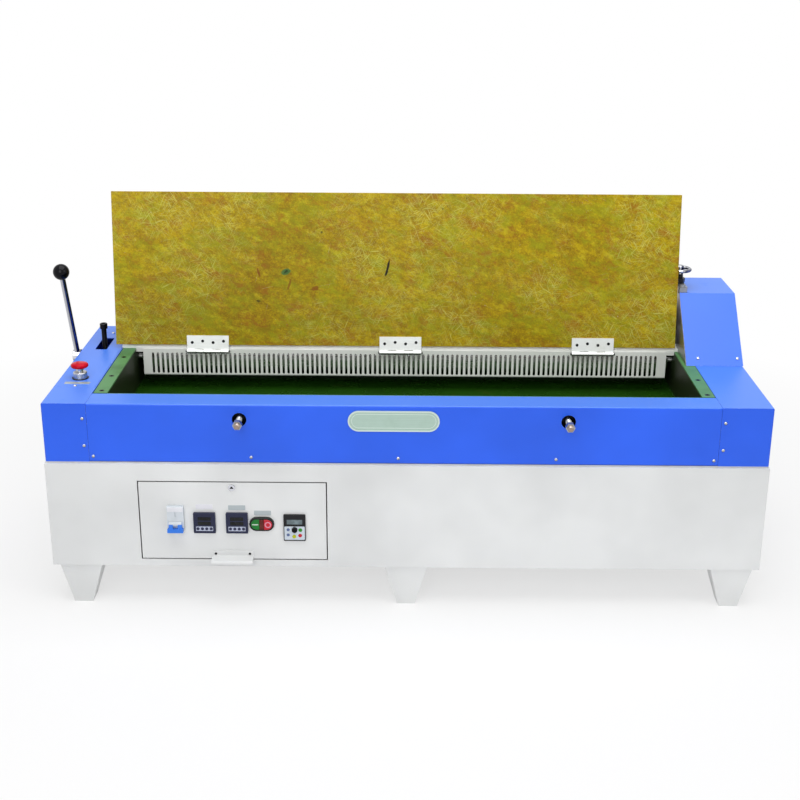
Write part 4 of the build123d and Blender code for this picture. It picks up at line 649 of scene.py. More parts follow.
class Recipe:
    """A Geometry Nodes tree with named inputs."""

    def __init__(self, name, sizes):
        self.tree = bpy.data.node_groups.new(name, "GeometryNodeTree")
        face = self.tree.interface
        face.new_socket("Geometry", in_out="INPUT", socket_type="NodeSocketGeometry")
        for label, kind, default in sizes:
            socket = face.new_socket(label, in_out="INPUT", socket_type="NodeSocket" + kind)
            if default is not None:
                socket.default_value = default
        face.new_socket("Geometry", in_out="OUTPUT", socket_type="NodeSocketGeometry")
        self.start = self.tree.nodes.new("NodeGroupInput")
        self.end = self.tree.nodes.new("NodeGroupOutput")

    def given(self, label):
        return self.start.outputs[label]

    def step(self, kind, settings=None, sockets=None):
        node = self.tree.nodes.new(kind)
        for key, value in (settings or {}).items():
            setattr(node, key, value)
        for key, value in (sockets or {}).items():
            target = node.inputs[key]
            for one in value if isinstance(value, list) else [value]:
                if isinstance(one, bpy.types.NodeSocket):
                    self.tree.links.new(one, target)
                else:
                    target.default_value = one
        return node

    def maths(self, operation, first, second=0.0):
        return self.step("ShaderNodeMath", {"operation": operation}, {0: first, 1: second}).outputs[0]

    def finished(self, geometry, material):
        real = self.step("GeometryNodeRealizeInstances", {}, {"Geometry": geometry})
        faced = self.step("GeometryNodeSetMaterial", {}, {
            "Geometry": real.outputs["Geometry"], "Material": material})
        self.tree.links.new(faced.outputs["Geometry"], self.end.inputs["Geometry"])


def grown(recipe, name, start_mesh, values):
    """Runs a recipe on a mesh with its inputs set, and gives back the plain mesh."""
    host = bpy.data.objects.new(name + "_host", start_mesh)
    bpy.context.scene.collection.objects.link(host)
    modifier = host.modifiers.new("recipe", "NODES")
    modifier.node_group = recipe.tree
    for item in recipe.tree.interface.items_tree:
        if item.in_out == "INPUT" and item.name in values:
            modifier[item.identifier] = values[item.name]
    bpy.context.view_layer.update()
    graph = bpy.context.evaluated_depsgraph_get()
    mesh = bpy.data.meshes.new_from_object(
        host.evaluated_get(graph), preserve_all_data_layers=True, depsgraph=graph)
    mesh.name = name
    bpy.data.objects.remove(host)
    if not mesh.polygons:
        raise RuntimeError(f"the recipe for {name} made no faces")
    bm = bmesh.new()
    bm.from_mesh(mesh)
    bmesh.ops.remove_doubles(bm, verts=bm.verts, dist=1e-7)
    bmesh.ops.recalc_face_normals(bm, faces=bm.faces)
    for face in bm.faces:
        face.smooth = True
    for edge in bm.edges:
        edge.smooth = len(edge.link_faces) == 2 and edge.calc_face_angle(0.0) < math.radians(32)
    bm.to_mesh(mesh)
    bm.free()
    return mesh


def seat_points(places):
    """A mesh of loose points, each with the turn that stands a fastener up on it."""
    mesh = bpy.data.meshes.new("seats")
    mesh.from_pydata([place for place, _, _ in places], [], [])
    turns = mesh.attributes.new("turn", "FLOAT_VECTOR", "POINT")
    for i, (_, direction, spin) in enumerate(places):
        turn = Vector((0, 0, 1)).rotation_difference(Vector(direction)) @ Quaternion((0, 0, 1), spin)
        turns.data[i].vector = Vector(turn.to_euler())
    return mesh


def fastener_recipe():
    """Puts one head on every seat: a lathe-turned blank with a cross or hexagon sunk into it."""
    recipe = Recipe("Fasteners On Seats", [
        ("Head", "Object", None), ("Scale", "Float", 1.0), ("Material", "Material", None)])
    head = recipe.step("GeometryNodeObjectInfo", {}, {"Object": recipe.given("Head")})
    turn = recipe.step("GeometryNodeInputNamedAttribute", {"data_type": "FLOAT_VECTOR"}, {"Name": "turn"})
    as_turn = recipe.step("FunctionNodeEulerToRotation", {}, {"Euler": turn.outputs["Attribute"]})
    placed = recipe.step("GeometryNodeInstanceOnPoints", {}, {
        "Points": recipe.given("Geometry"), "Instance": head.outputs["Geometry"],
        "Rotation": as_turn.outputs["Rotation"], "Scale": recipe.given("Scale")})
    recipe.finished(placed.outputs["Instances"], recipe.given("Material"))
    return recipe


def head_blank(kind, radius, height):
    """One fastener head in metres, standing on its seat. The sunk drive is part of its mesh."""
    bm = bmesh.new()
    segments = 24
    slot = radius * 0.16
    reach = radius * 0.60
    depth = height * 0.62
    profile = [(radius * 0.98, -0.25), (radius, height * 0.25), (radius * 0.93, height * 0.62),
               (radius * 0.78, height * 0.90), (radius * 0.66, height)]
    if kind == "flat":
        profile = [(radius * 0.5, -height), (radius * 0.97, -0.15), (radius, 0.0), (radius * 0.72, 0.0)]
        depth = height * 0.7
    rings = []
    for r, z in profile:
        rings.append([bm.verts.new(Vector((r * math.cos(2 * math.pi * i / segments),
                                           r * math.sin(2 * math.pi * i / segments), z)) / 1000)
                      for i in range(segments)])
    join_rings(bm, rings)
    bm.faces.new(list(reversed(rings[0])))
    top = profile[-1][1]
    if kind == "hex":
        mouth = []
        for i in range(segments):
            a = 2 * math.pi * i / segments
            wedge = (a + math.pi / 6) % (math.pi / 3) - math.pi / 6
            r = reach * math.cos(math.pi / 6) / math.cos(wedge)
            mouth.append((r * math.cos(a), r * math.sin(a)))
    else:
        mouth = []
        for i in range(segments):
            a = 2 * math.pi * i / segments
            quarter = (a + math.pi / 4) % (math.pi / 2) - math.pi / 4
            side = slot / max(math.sin(abs(quarter)), 1e-6)
            r = min(reach, max(side, slot * 1.5)) if abs(quarter) > 1e-6 else reach
            mouth.append((r * math.cos(a), r * math.sin(a)))
    rim = [bm.verts.new(Vector((x, y, top)) / 1000) for x, y in mouth]
    floor_share = 1.0 if kind == "hex" else 0.62
    bed = [bm.verts.new(Vector((x * floor_share, y * floor_share, top - depth)) / 1000) for x, y in mouth]
    for i in range(segments):
        j = (i + 1) % segments
        bm.faces.new((rings[-1][i], rings[-1][j], rim[j], rim[i]))
        bm.faces.new((rim[i], rim[j], bed[j], bed[i]))
    bm.faces.new(bed)
    return mesh_from("head", bm, 40.0)


def fasteners(name, places, kind, radius, height, body, finish, stands_for=()):
    blank = bpy.data.objects.new(name + "_blank", head_blank(kind, radius, height))
    bpy.context.scene.collection.objects.link(blank)
    recipe = fastener_recipe()
    mesh = grown(recipe, name, seat_points(places), {
        "Head": blank, "Scale": 1.0, "Material": materials[finish]})
    bpy.data.objects.remove(blank)
    return new_piece(name, mesh, body, finish, stands_for)


def guard_recipe():
    """A flat panel with rounded slots in a row, drawn in X and Y and raised by the sheet's thickness."""
    recipe = Recipe("Slotted Panel", [
        ("Slots", "Int", 105), ("Slot Width", "Float", 0.006), ("Slot Length", "Float", 0.052),
        ("Pitch", "Float", 0.0116), ("First Slot", "Vector", (0.0, 0.0, 0.0)),
        ("Thickness", "Float", 0.002), ("Material", "Material", None)])
    outline = recipe.step("GeometryNodeMeshToCurve", {}, {"Mesh": recipe.given("Geometry")})
    slot = recipe.step("GeometryNodeCurvePrimitiveQuadrilateral", {}, {
        "Width": recipe.given("Slot Width"), "Height": recipe.given("Slot Length")})
    corner = recipe.maths("MULTIPLY", recipe.given("Slot Width"), 0.495)
    rounded = recipe.step("GeometryNodeFilletCurve", {"mode": "POLY"}, {
        "Curve": slot.outputs["Curve"], "Radius": corner, "Count": 3})
    step = recipe.step("ShaderNodeCombineXYZ", {}, {"X": recipe.given("Pitch")})
    row = recipe.step("GeometryNodeMeshLine", {}, {
        "Count": recipe.given("Slots"), "Start Location": recipe.given("First Slot"),
        "Offset": step.outputs["Vector"]})
    slots = recipe.step("GeometryNodeInstanceOnPoints", {}, {
        "Points": row.outputs["Mesh"], "Instance": rounded.outputs["Curve"]})
    real_slots = recipe.step("GeometryNodeRealizeInstances", {}, {"Geometry": slots.outputs["Instances"]})
    lines = recipe.step("GeometryNodeJoinGeometry", {}, {
        "Geometry": [real_slots.outputs["Geometry"], outline.outputs["Curve"]]})
    filled = recipe.step("GeometryNodeFillCurve", {}, {"Curve": lines.outputs["Geometry"]})
    raised = recipe.step("GeometryNodeExtrudeMesh", {}, {
        "Mesh": filled.outputs["Mesh"], "Offset Scale": recipe.given("Thickness"), "Individual": False})
    back = recipe.step("GeometryNodeFlipFaces", {}, {"Mesh": filled.outputs["Mesh"]})
    whole = recipe.step("GeometryNodeJoinGeometry", {}, {
        "Geometry": [raised.outputs["Mesh"], back.outputs["Mesh"]]})
    merged = recipe.step("GeometryNodeMergeByDistance", {}, {
        "Geometry": whole.outputs["Geometry"], "Distance": 0.00001})
    recipe.finished(merged.outputs["Geometry"], recipe.given("Material"))
    return recipe


def key_recipe():
    """A row of round membrane keys on every seat, each a low dome."""
    recipe = Recipe("Key Rows", [
        ("Keys", "Int", 4), ("Pitch", "Float", 0.0098), ("Radius", "Float", 0.0036),
        ("Rise", "Float", 0.0006), ("Material", "Material", None)])
    step = recipe.step("ShaderNodeCombineXYZ", {}, {"X": recipe.given("Pitch")})
    row = recipe.step("GeometryNodeMeshLine", {}, {
        "Count": recipe.given("Keys"), "Offset": step.outputs["Vector"]})
    rows = recipe.step("GeometryNodeInstanceOnPoints", {}, {
        "Points": recipe.given("Geometry"), "Instance": row.outputs["Mesh"]})
    seats = recipe.step("GeometryNodeRealizeInstances", {}, {"Geometry": rows.outputs["Instances"]})
    key = recipe.step("GeometryNodeMeshCone", {}, {
        "Vertices": 24, "Side Segments": 2, "Radius Bottom": recipe.given("Radius"),
        "Radius Top": recipe.maths("MULTIPLY", recipe.given("Radius"), 0.8), "Depth": recipe.given("Rise")})
    flat = recipe.step("FunctionNodeEulerToRotation", {}, {"Euler": (math.pi / 2, 0.0, 0.0)})
    keys = recipe.step("GeometryNodeInstanceOnPoints", {}, {
        "Points": seats.outputs["Geometry"], "Instance": key.outputs["Mesh"],
        "Rotation": flat.outputs["Rotation"]})
    recipe.finished(keys.outputs["Instances"], recipe.given("Material"))
    return recipe


def thread_recipe():
    """A thread's ridge: a small closed section swept along a spiral that climbs Z."""
    recipe = Recipe("Thread Ridge", [
        ("Turns", "Float", 10.0), ("Radius", "Float", 0.006), ("Length", "Float", 0.02),
        ("Ridge", "Float", 0.0006), ("Material", "Material", None)])
    spiral = recipe.step("GeometryNodeCurveSpiral", {}, {
        "Resolution": 20, "Rotations": recipe.given("Turns"), "Start Radius": recipe.given("Radius"),
        "End Radius": recipe.given("Radius"), "Height": recipe.given("Length")})
    upright = recipe.step("GeometryNodeSetCurveNormal", {"mode": "Z_UP"}, {"Curve": spiral.outputs["Curve"]})
    section = recipe.step("GeometryNodeCurvePrimitiveCircle", {}, {
        "Resolution": 4, "Radius": recipe.given("Ridge")})
    swept = recipe.step("GeometryNodeCurveToMesh", {}, {
        "Curve": upright.outputs["Curve"], "Profile Curve": section.outputs["Curve"], "Fill Caps": True})
    recipe.finished(swept.outputs["Mesh"], recipe.given("Material"))
    return recipe


def thread(name, matrix, radius, pitch, length, body, finish):
    """The ridge of a thread over a plain CAD rod, in millimetres, standing up Z before it is placed."""
    mesh = grown(thread_recipe(), name, seat_points([((0, 0, 0), (0, 0, 1), 0)]), {
        "Turns": length / pitch, "Radius": (radius - 0.35) / 1000, "Length": length / 1000,
        "Ridge": pitch * 0.42 / 1000, "Material": materials[finish]})
    mesh.transform(matrix)
    return new_piece(name, mesh, body, finish)


def as_given(x, y, z):
    return (x, y, z)


def add_prism(bm, section, x0, x1, placed=at):
    """A shape drawn in Y and Z and drawn out along X. Placed turns its numbers into a place."""
    ends = [[bm.verts.new(placed(x, y, z)) for y, z in section] for x in (x0, x1)]
    join_rings(bm, ends)
    bm.faces.new(ends[0][::-1])
    bm.faces.new(ends[1])


def two_tone(name, bm, first_count, finishes):
    """A mesh whose first faces take one finish and all later ones the other."""
    bm.faces.ensure_lookup_table()
    for face in bm.faces[first_count:]:
        face.material_index = 1
    mesh = mesh_from(name, bm)
    for finish in finishes:
        mesh.materials.append(materials[finish])
    return mesh


def add_sheet(bm, outline, holes, thickness, matrix):
    """A flat sheet with holes, drawn in millimetres and raised by its thickness."""
    rings = []
    for points in (outline, *holes):
        rings.append([bm.verts.new(matrix @ (Vector((x, y, 0)) / 1000)) for x, y in points])
    edges = [bm.edges.new((ring[i], ring[(i + 1) % len(ring)])) for ring in rings for i in range(len(ring))]
    filled = bmesh.ops.triangle_fill(bm, edges=edges, use_beauty=True)
    low_faces = [g for g in filled["geom"] if isinstance(g, bmesh.types.BMFace)]
    copied = bmesh.ops.extrude_face_region(bm, geom=low_faces, use_keep_orig=True)
    top = [g for g in copied["geom"] if isinstance(g, bmesh.types.BMVert)]
    rise = (matrix.to_3x3() @ Vector((0, 0, 1))).normalized() * thickness / 1000
    bmesh.ops.translate(bm, verts=top, vec=rise)


def circle(radius, steps=32, x=0.0, y=0.0):
    return [(x + radius * math.cos(2 * math.pi * i / steps), y + radius * math.sin(2 * math.pi * i / steps))
            for i in range(steps)]


def plate(name, body, matrix, outline, thickness, finish, holes=(), edge=0.0):
    bm = bmesh.new()
    if holes:
        add_sheet(bm, outline, holes, thickness, matrix)
    else:
        add_slab(bm, outline, thickness, matrix, edge)
    return new_piece(name, mesh_from(name, bm), body, finish)


def dress(names, finish):
    """Puts a finish in the material slot of carried-over CAD nodes."""
    for name in names:
        node = frame["nodes"][name]
        if not node.data.materials:
            node.data.materials.append(materials[finish])
        for i in range(len(node.material_slots)):
            node.material_slots[i].material = materials[finish]


def head_centre(island, direction):
    """The middle of a fastener's outer face, from the CAD solid and the way it looks."""
    way = Vector(direction).normalized()
    top = max(spot.dot(way) for spot in island)
    outer = [spot for spot in island if spot.dot(way) > top - 0.00005]
    return sum(outer, Vector()) / len(outer)


# Operators


class COATER_OT_finishes(bpy.types.Operator):
    """Makes every finish that the machine's parts are given"""
    bl_idname = "coater.finishes"
    bl_label = "Mix Finishes"

    def execute(self, context):
        steel = (0.62, 0.63, 0.64)
        along_x, along_y, along_z = (0.02, 1.0, 1.0), (1.0, 0.02, 1.0), (1.0, 1.0, 0.02)
        made = [
            # The blue paint's last colour is its painted light on the top faces.
            powder_coat("blue_paint", (0.008, 0.115, 0.900), 0.36, (0.42, 0.50, 0.72), 0.35, 0.5,
                        (0.060, 0.215, 0.860)),
            powder_coat("cream_paint", (0.775, 0.787, 0.785), 0.42, (0.52, 0.50, 0.47), 0.5),
            # The guard's paint is whiter than the cabinet's cream and made paler still as painted light,
            # lifting the guard out of the shade behind the front lip.
            powder_coat("guard_paint", (0.965, 0.985, 0.930), 0.36, (0.66, 0.64, 0.60), 0.15, 0.8),
            powder_coat("motor_paint", (0.17, 0.19, 0.22), 0.45, (0.45, 0.46, 0.47)),
            amber_laminate("amber_laminate", (0.265, 0.158, 0.001), (0.535, 0.378, 0.003)),
            # The green coating's second colour is its walls with painted shade.
            release_coating("green_coating", (0.085, 0.245, 0.090), (0.009, 0.014, 0.004),
                            (0.012, 0.058, 0.003)),
            # A brushed finish's number after its scratch strength is its share of painted dark reflection:
            # the hinges, screws, adjusters and collar use it.
            brushed("zinc_sheet", (0.60, 0.61, 0.61), 0.40, along_x, 0.35),
            brushed("bright_steel", (0.70, 0.72, 0.70), 0.36, along_x, 0.2),
            brushed("hinge_steel", (0.80, 0.82, 0.80), 0.50, along_x, 0.25, 0.4, 0.95),
            brushed("machined_plate", (0.36, 0.37, 0.38), 0.36, along_y, 0.3, 0.7),
            brushed("roller_steel", steel, 0.30, along_z, 0.25),
            brushed("gear_steel", (0.30, 0.30, 0.31), 0.38, along_z, 0.5),
            brushed("dark_steel", (0.030, 0.030, 0.033), 0.42, along_z, 0.3),
            brushed("blade_steel", (0.70, 0.70, 0.70), 0.24, along_x, 0.25),
            brushed("heater_sheath", (0.36, 0.30, 0.25), 0.45, along_x, 0.6),
            brushed("zinc_screws", (0.72, 0.72, 0.71), 0.26, along_y, 0.3, 0.4, 0.95),
            brushed("black_screws", (0.016, 0.016, 0.018), 0.40, along_z, 0.3),
            brushed("adjuster_steel", (0.42, 0.43, 0.44), 0.30, along_y, 0.5, 0.5, 0.9,
                    (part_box("adjuster_left")[0].y + 0.0007, (0.36, 0.27, 0.22))),
            brushed("copper_end", (0.36, 0.27, 0.22), 0.38, along_y, 0.6),
            # Both chrome finishes carry painted reflections.
            plated("chrome_roll", (0.78, 0.79, 0.80), 0.12),
            plated("chrome_trim", (0.66, 0.67, 0.72), 0.10),
            brushed("badge_silver", (0.44, 0.58, 0.51), 0.42, along_x, 0.15),
            brushed("badge_rim", (0.66, 0.76, 0.71), 0.34, along_x, 0.1),
            brushed("silver_collar", (0.56, 0.57, 0.59), 0.28, along_x, 0.2, 0.3, 0.6),
            brushed("bronze", (0.62, 0.42, 0.20), 0.32, along_z, 0.4),
            ground_rubber("silicone_rubber", (0.42, 0.085, 0.045)),
            moulded("black_plastic", (0.010, 0.010, 0.012), 0.48),
            moulded("device_black", (0.008, 0.010, 0.009), 0.42),
            moulded("device_grey", (0.70, 0.75, 0.80), 0.44),
            moulded("device_white", (0.84, 0.85, 0.90), 0.50),
            moulded("toggle_blue", (0.040, 0.210, 0.800), 0.36),
            moulded("button_green", (0.012, 0.205, 0.030), 0.32),
            moulded("button_red", (0.560, 0.004, 0.022), 0.32, shine=0.4),
            moulded("estop_red", (0.600, 0.001, 0.018), 0.20, shine=0.10),
            moulded("knob_plastic", (0.002, 0.002, 0.004), 0.10, shine=0.14),
            moulded("navy_bezel", (0.020, 0.024, 0.062), 0.40),
            moulded("lilac_band", (0.48, 0.52, 0.66), 0.46),
            moulded("dark_key", (0.028, 0.032, 0.075), 0.40),
            moulded("membrane_pale", (0.66, 0.74, 0.82), 0.46),
            moulded("key_blue", (0.110, 0.160, 0.330), 0.42),
            moulded("key_green", (0.030, 0.270, 0.016), 0.36),
            moulded("key_yellow", (0.540, 0.560, 0.010), 0.36),
            moulded("mark_white", (0.78, 0.84, 0.78), 0.45),
            moulded("mark_pink", (0.78, 0.30, 0.40), 0.45),
            moulded("label_white", (0.86, 0.86, 0.92), 0.50),
            brushed("label_silver", (0.46, 0.51, 0.53), 0.46, along_x, 0.2),
            dark_lens("smoked_window", (0.003, 0.004, 0.004)),
            dark_lens("display_grey", (0.130, 0.170, 0.185), 0.24),
            dark_lens("lamp_lens", (0.110, 0.014, 0.010), 0.18),
            studio_floor("studio_floor"),
        ]
        for material in made:
            materials[material.name.removesuffix("_finish")] = material
        return {"FINISHED"}


class COATER_OT_casings(bpy.types.Operator):
    """Sprays the casings, cabinet, feet, guard bar and pull handle"""
    bl_idname = "coater.casings"
    bl_label = "Casings"

    def execute(self, context):
        dress(("left_end_housing", "left_top_cover", "right_end_housing", "front_fascia", "rear_fascia",
               "gear_cover"), "blue_paint")
        dress(("base_cabinet", "feet", "drawer_front", "drawer_handle"), "cream_paint")
        # The guard and its bar take the paler paint, partly painted light.
        dress(("guard_bar", "slotted_guard"), "guard_paint")
        dress(("bed_plate", "drawer_tray"), "zinc_sheet")
        # The brackets behind the adjuster holes take dark steel as painted shade, so the holes read dark.
        dress(("adjuster_brackets",), "dark_steel")
        dress(("drive_gearmotor",), "motor_paint")
        dress(("cable_gland",), "black_plastic")
        return {"FINISHED"}


class COATER_OT_board(bpy.types.Operator):
    """Gives the folding feed board its glass-and-resin laminate and its hinges their metal"""
    bl_idname = "coater.board"
    bl_label = "Feed Board"

    def execute(self, context):
        dress(("feed_board",), "amber_laminate")
        dress(("moving_hinge_leaves", "fixed_hinge_leaves"), "hinge_steel")
        dress(("hinge_pins",), "dark_steel")
        lean = math.radians(8.5)
        way = Vector((0, -math.cos(lean), math.sin(lean)))
        places = []
        for i, island in enumerate(islands("hinge_screws")):
            centre = head_centre(island, way)
            places.append((centre - way * 0.0016, way, i * 1.3))
        fasteners("hinge_screw_heads", places, "flat", 3.55, 1.6, "board", "black_screws",
                  ("hinge_screws",))
        return {"FINISHED"}


class COATER_OT_tank(bpy.types.Operator):
    """Coats the glue tank and dresses its screws and heaters"""
    bl_idname = "coater.tank"
    bl_label = "Glue Tank"

    def execute(self, context):
        dress(("glue_tank",), "green_coating")
        dress(("tank_screws",), "black_screws")
        dress(("tank_heaters",), "heater_sheath")
        return {"FINISHED"}


class COATER_OT_rollers(bpy.types.Operator):
    """Dresses the rollers, their gears, plates, bushes, spindles and handwheels"""
    bl_idname = "coater.rollers"
    bl_label = "Rollers and Drive"

    def execute(self, context):
        sizes = context.scene.coater
        dress(("side_plate_left", "side_plate_right", "spindle_bridges", "press_bearing_blocks"),
              "machined_plate")
        dress(("glue_roller",), "chrome_roll")
        dress(("press_roller_core",), "roller_steel")
        dress(("press_roller_sleeve",), "silicone_rubber")
        dress(("glue_roller_gear", "press_roller_gear", "drive_pinion"), "gear_steel")
        dress(("glue_roller_bushes",), "bronze")
        dress(("handwheel_left", "handwheel_right"), "chrome_trim")
        dress(("lift_spindle_left", "lift_spindle_right"), "dark_steel")
        for side in ("left", "right"):
            spot = joint_place(side + "_wheel_turn")
            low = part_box("spindle_bridges")[1].z * 1000 + 9.0
            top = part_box("handwheel_" + side)[0].z * 1000 - 1.0
            matrix = Matrix.Translation((spot.x, spot.y, low / 1000))
            thread(f"lift_thread_{side}", matrix, 8.0, sizes.spindle_pitch * 1000, top - low,
                   side + "_wheel", "dark_steel")
        return {"FINISHED"}


class COATER_OT_lever(bpy.types.Operator):
    """Dresses the doctor lever with its ball, blade, cross shaft and stop screw"""
    bl_idname = "coater.lever"
    bl_label = "Doctor Lever"

    def execute(self, context):
        sizes = context.scene.coater
        dress(("lever_arm",), "chrome_trim")
        dress(("lever_knob",), "knob_plastic")
        dress(("doctor_shaft",), "bright_steel")
        dress(("doctor_blade",), "blade_steel")
        dress(("stop_screw",), "black_screws")
        low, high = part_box("stop_screw")
        spot = Vector(((low.x + high.x) / 2, joint_place("doctor_lever").y, low.z + 0.001))
        length = (high.z - low.z) * 1000 - 14.5
        thread("stop_thread", Matrix.Translation(spot), 6.0, sizes.screw_pitch * 1000, length, "lever",
               "black_screws")
        return {"FINISHED"}


class COATER_OT_adjusters(bpy.types.Operator):
    """Cuts the threads of the two front adjusters and tints their ends"""
    bl_idname = "coater.adjusters"
    bl_label = "Front Adjusters"

    def execute(self, context):
        sizes = context.scene.coater
        dress(("adjuster_left", "adjuster_right"), "adjuster_steel")
        for side in ("left", "right"):
            spot = joint_place(side + "_adjuster_turn")
            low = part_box("adjuster_" + side)[0]
            tip = Vector((spot.x, low.y, spot.z))
            front = turned_to((0, 1, 0), tip + Vector((0, 0.0014, 0)))
            thread(f"adjuster_tip_thread_{side}", front, 6.0, sizes.screw_pitch * 1000, 6.2,
                   side + "_adjuster", "copper_end")
            behind = turned_to((0, 1, 0), tip + Vector((0, 0.0214, 0)))
            thread(f"adjuster_thread_{side}", behind, 6.0, sizes.screw_pitch * 1000, 44.0,
                   side + "_adjuster", "adjuster_steel")
        return {"FINISHED"}


class COATER_OT_screws(bpy.types.Operator):
    """Seats a cross-slotted pan head on every panel screw"""
    bl_idname = "coater.screws"
    bl_label = "Panel Screws"

    def execute(self, context):
        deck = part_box("front_fascia")[1].z
        slope = Vector((0, -0.137, 0.140)).normalized()
        places = []
        for i, island in enumerate(islands("panel_screws")):
            middle = sum(island, Vector()) / len(island)
            way = Vector((0, -1, 0))
            if middle.z > deck + 0.005:
                way = slope
            elif middle.z > deck - 0.008:
                way = Vector((0, 0, 1))
            places.append((head_centre(island, way) - way * 0.0024, way, i * 0.9))
        fasteners("panel_screw_heads", places, "pan", 3.6, 2.35, "machine", "zinc_screws",
                  ("panel_screws",))
        return {"FINISHED"}


class COATER_OT_guard(bpy.types.Operator):
    """Punches the slotted guard behind the feed opening and folds its lower edge"""
    bl_idname = "coater.guard"
    bl_label = "Slotted Guard"

    def execute(self, context):
        sizes = context.scene.coater
        low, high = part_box("slotted_guard")
        bend, sheet, clear = 0.004, 0.002, 0.001
        notch_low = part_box("fixed_hinge_leaves")[0].z - 0.0003
        corners = [(low.x, low.z + bend), (high.x, low.z + bend), (high.x, high.z)]
        notches = sorted(((a.x, b.x) for _, a, b in boxes("fixed_hinge_leaves")), reverse=True)
        for left, right in notches:
            corners += [(right + clear, high.z), (right + clear, notch_low),
                        (left - clear, notch_low), (left - clear, high.z)]
        corners.append((low.x, high.z))
        count = len(corners)
        outline = bpy.data.meshes.new("guard_outline")
        outline.from_pydata([(x, z, 0) for x, z in corners], [(i, (i + 1) % count) for i in range(count)], [])
        first = low.x + sizes.slot_end_inset
        last = high.x - sizes.slot_end_inset - 0.002
        middle = low.z + 0.005 + sizes.slot_length / 2
        mesh = grown(guard_recipe(), "slotted_guard_sheet", outline, {
            "Slots": sizes.slot_count, "Slot Width": sizes.slot_width, "Slot Length": sizes.slot_length,
            "Pitch": (last - first) / (sizes.slot_count - 1), "First Slot": (first, middle, 0.0),
            "Thickness": sheet, "Material": materials["guard_paint"]})
        stand = Matrix(((1, 0, 0, 0), (0, 0, -1, low.y + sheet), (0, 1, 0, 0), (0, 0, 0, 1)))
        mesh.transform(stand)
        bm = bmesh.new()
        bm.from_mesh(mesh)
        section = [(low.y, low.z + bend), (low.y + sheet, low.z + bend)]
        turn = [math.pi + math.pi / 2 * k / 4 for k in range(5)]
        inner, outer = (
            [(low.y + bend + radius * math.cos(a), low.z + bend + radius * math.sin(a)) for a in turn[1:]]
            for radius in (sheet, bend))
        section += inner + [(high.y, low.z + sheet), (high.y, low.z)] + outer[::-1]
        add_prism(bm, section, low.x, high.x, as_given)
        bmesh.ops.recalc_face_normals(bm, faces=bm.faces)
        bm.to_mesh(mesh)
        bm.free()
        new_piece("slotted_guard_sheet", mesh, "machine", "guard_paint", ("slotted_guard",))
        return {"FINISHED"}


class COATER_OT_breaker(bpy.types.Operator):
    """Adds the breaker's bare label field and its two tied levers"""
    bl_idname = "coater.breaker"
    bl_label = "Breaker"

    def execute(self, context):
        dress(("breaker_body",), "device_grey")
        dress(("breaker_toggle",), "toggle_blue")
        x, z, face = -503.7, 208.2, -13.0
        plate("breaker_label", "drawer", facing_front(at(x, face, z + 23.6)), rounded_outline(34, 10.6, 1.4),
              0.5, "device_white", edge=0.2)
        bm = bmesh.new()
        axis = (joint_place("breaker_flip") - datum) * 1000
        section = [(axis.y - 1.0, axis.z + 5.2), (axis.y - 5.4, axis.z + 2.0), (-21.0, 188.0), (-14.2, 187.0),
                   (axis.y - 1.4, axis.z - 5.7), (axis.y, axis.z - 4.0)]
        # Both levers and the barrel keep inside the pocket, which is 28.6 wide and 6.3 in radius.
        spread, half_lever, half_barrel, barrel = 9.6, 4.4, 13.9, 5.9
        for middle in (-spread, spread):
            add_prism(bm, section, x + middle - half_lever, x + middle + half_lever)
        add_prism(bm, [(-13.6, 188.4), (-22.6, 188.4), (-23.4, 180.2), (-14.2, 179.4)], x - 17.2, x + 17.2)
        count = len(bm.faces)
        add_lathe(bm, [(0, -half_barrel), (barrel, -half_barrel), (barrel, half_barrel), (0, half_barrel)],
                  turned_to((1, 0, 0), joint_place("breaker_flip")), 32)
        mesh = two_tone("breaker_levers", bm, count, ("toggle_blue", "device_grey"))
        new_piece("breaker_levers", mesh, "toggle", None, ("breaker_toggle",))
        return {"FINISHED"}


class COATER_OT_controllers(bpy.types.Operator):
    """Fits the two temperature controllers' faces, windows, bands and keys"""
    bl_idname = "coater.controllers"
    bl_label = "Temperature Controllers"

    def execute(self, context):
        sizes = context.scene.coater
        dress(("temperature_controllers",), "navy_bezel")
        rows = []
        for side, x in (("left", -441.3), ("right", -370.3)):
            z, floor = 198.4, -8.5
            face = facing_front(at(x, floor, z))
            plate(f"controller_face_{side}", "drawer", face, rounded_outline(37.4, 37.4, 1.2), 1.0,
                  "navy_bezel", edge=0.15)
            for name, rise, height in (("upper", 10.2, 8.2), ("lower", -0.8, 8.2)):
                window = facing_front(at(x, floor - 1.0, z + rise))
                plate(f"controller_window_{name}_{side}", "drawer", window, rounded_outline(29, height, 0.6),
                      0.3, "smoked_window", edge=0.1)
            plate(f"controller_band_{side}", "drawer", facing_front(at(x, floor - 1.0, z - 13.4)),
                  rounded_outline(37.4, 10.6, 0.5), 0.35, "lilac_band", edge=0.1)
            rows.append((at(x - 1.5 * sizes.key_pitch * 1000, floor - 1.35, z - 13.4), (0, 0, 1), 0))
        mesh = grown(key_recipe(), "controller_keys", seat_points(rows), {
            "Keys": sizes.key_count, "Pitch": sizes.key_pitch, "Radius": 0.0036, "Rise": 0.0006,
            "Material": materials["dark_key"]})
        new_piece("controller_keys", mesh, "drawer", "dark_key")
        return {"FINISHED"}


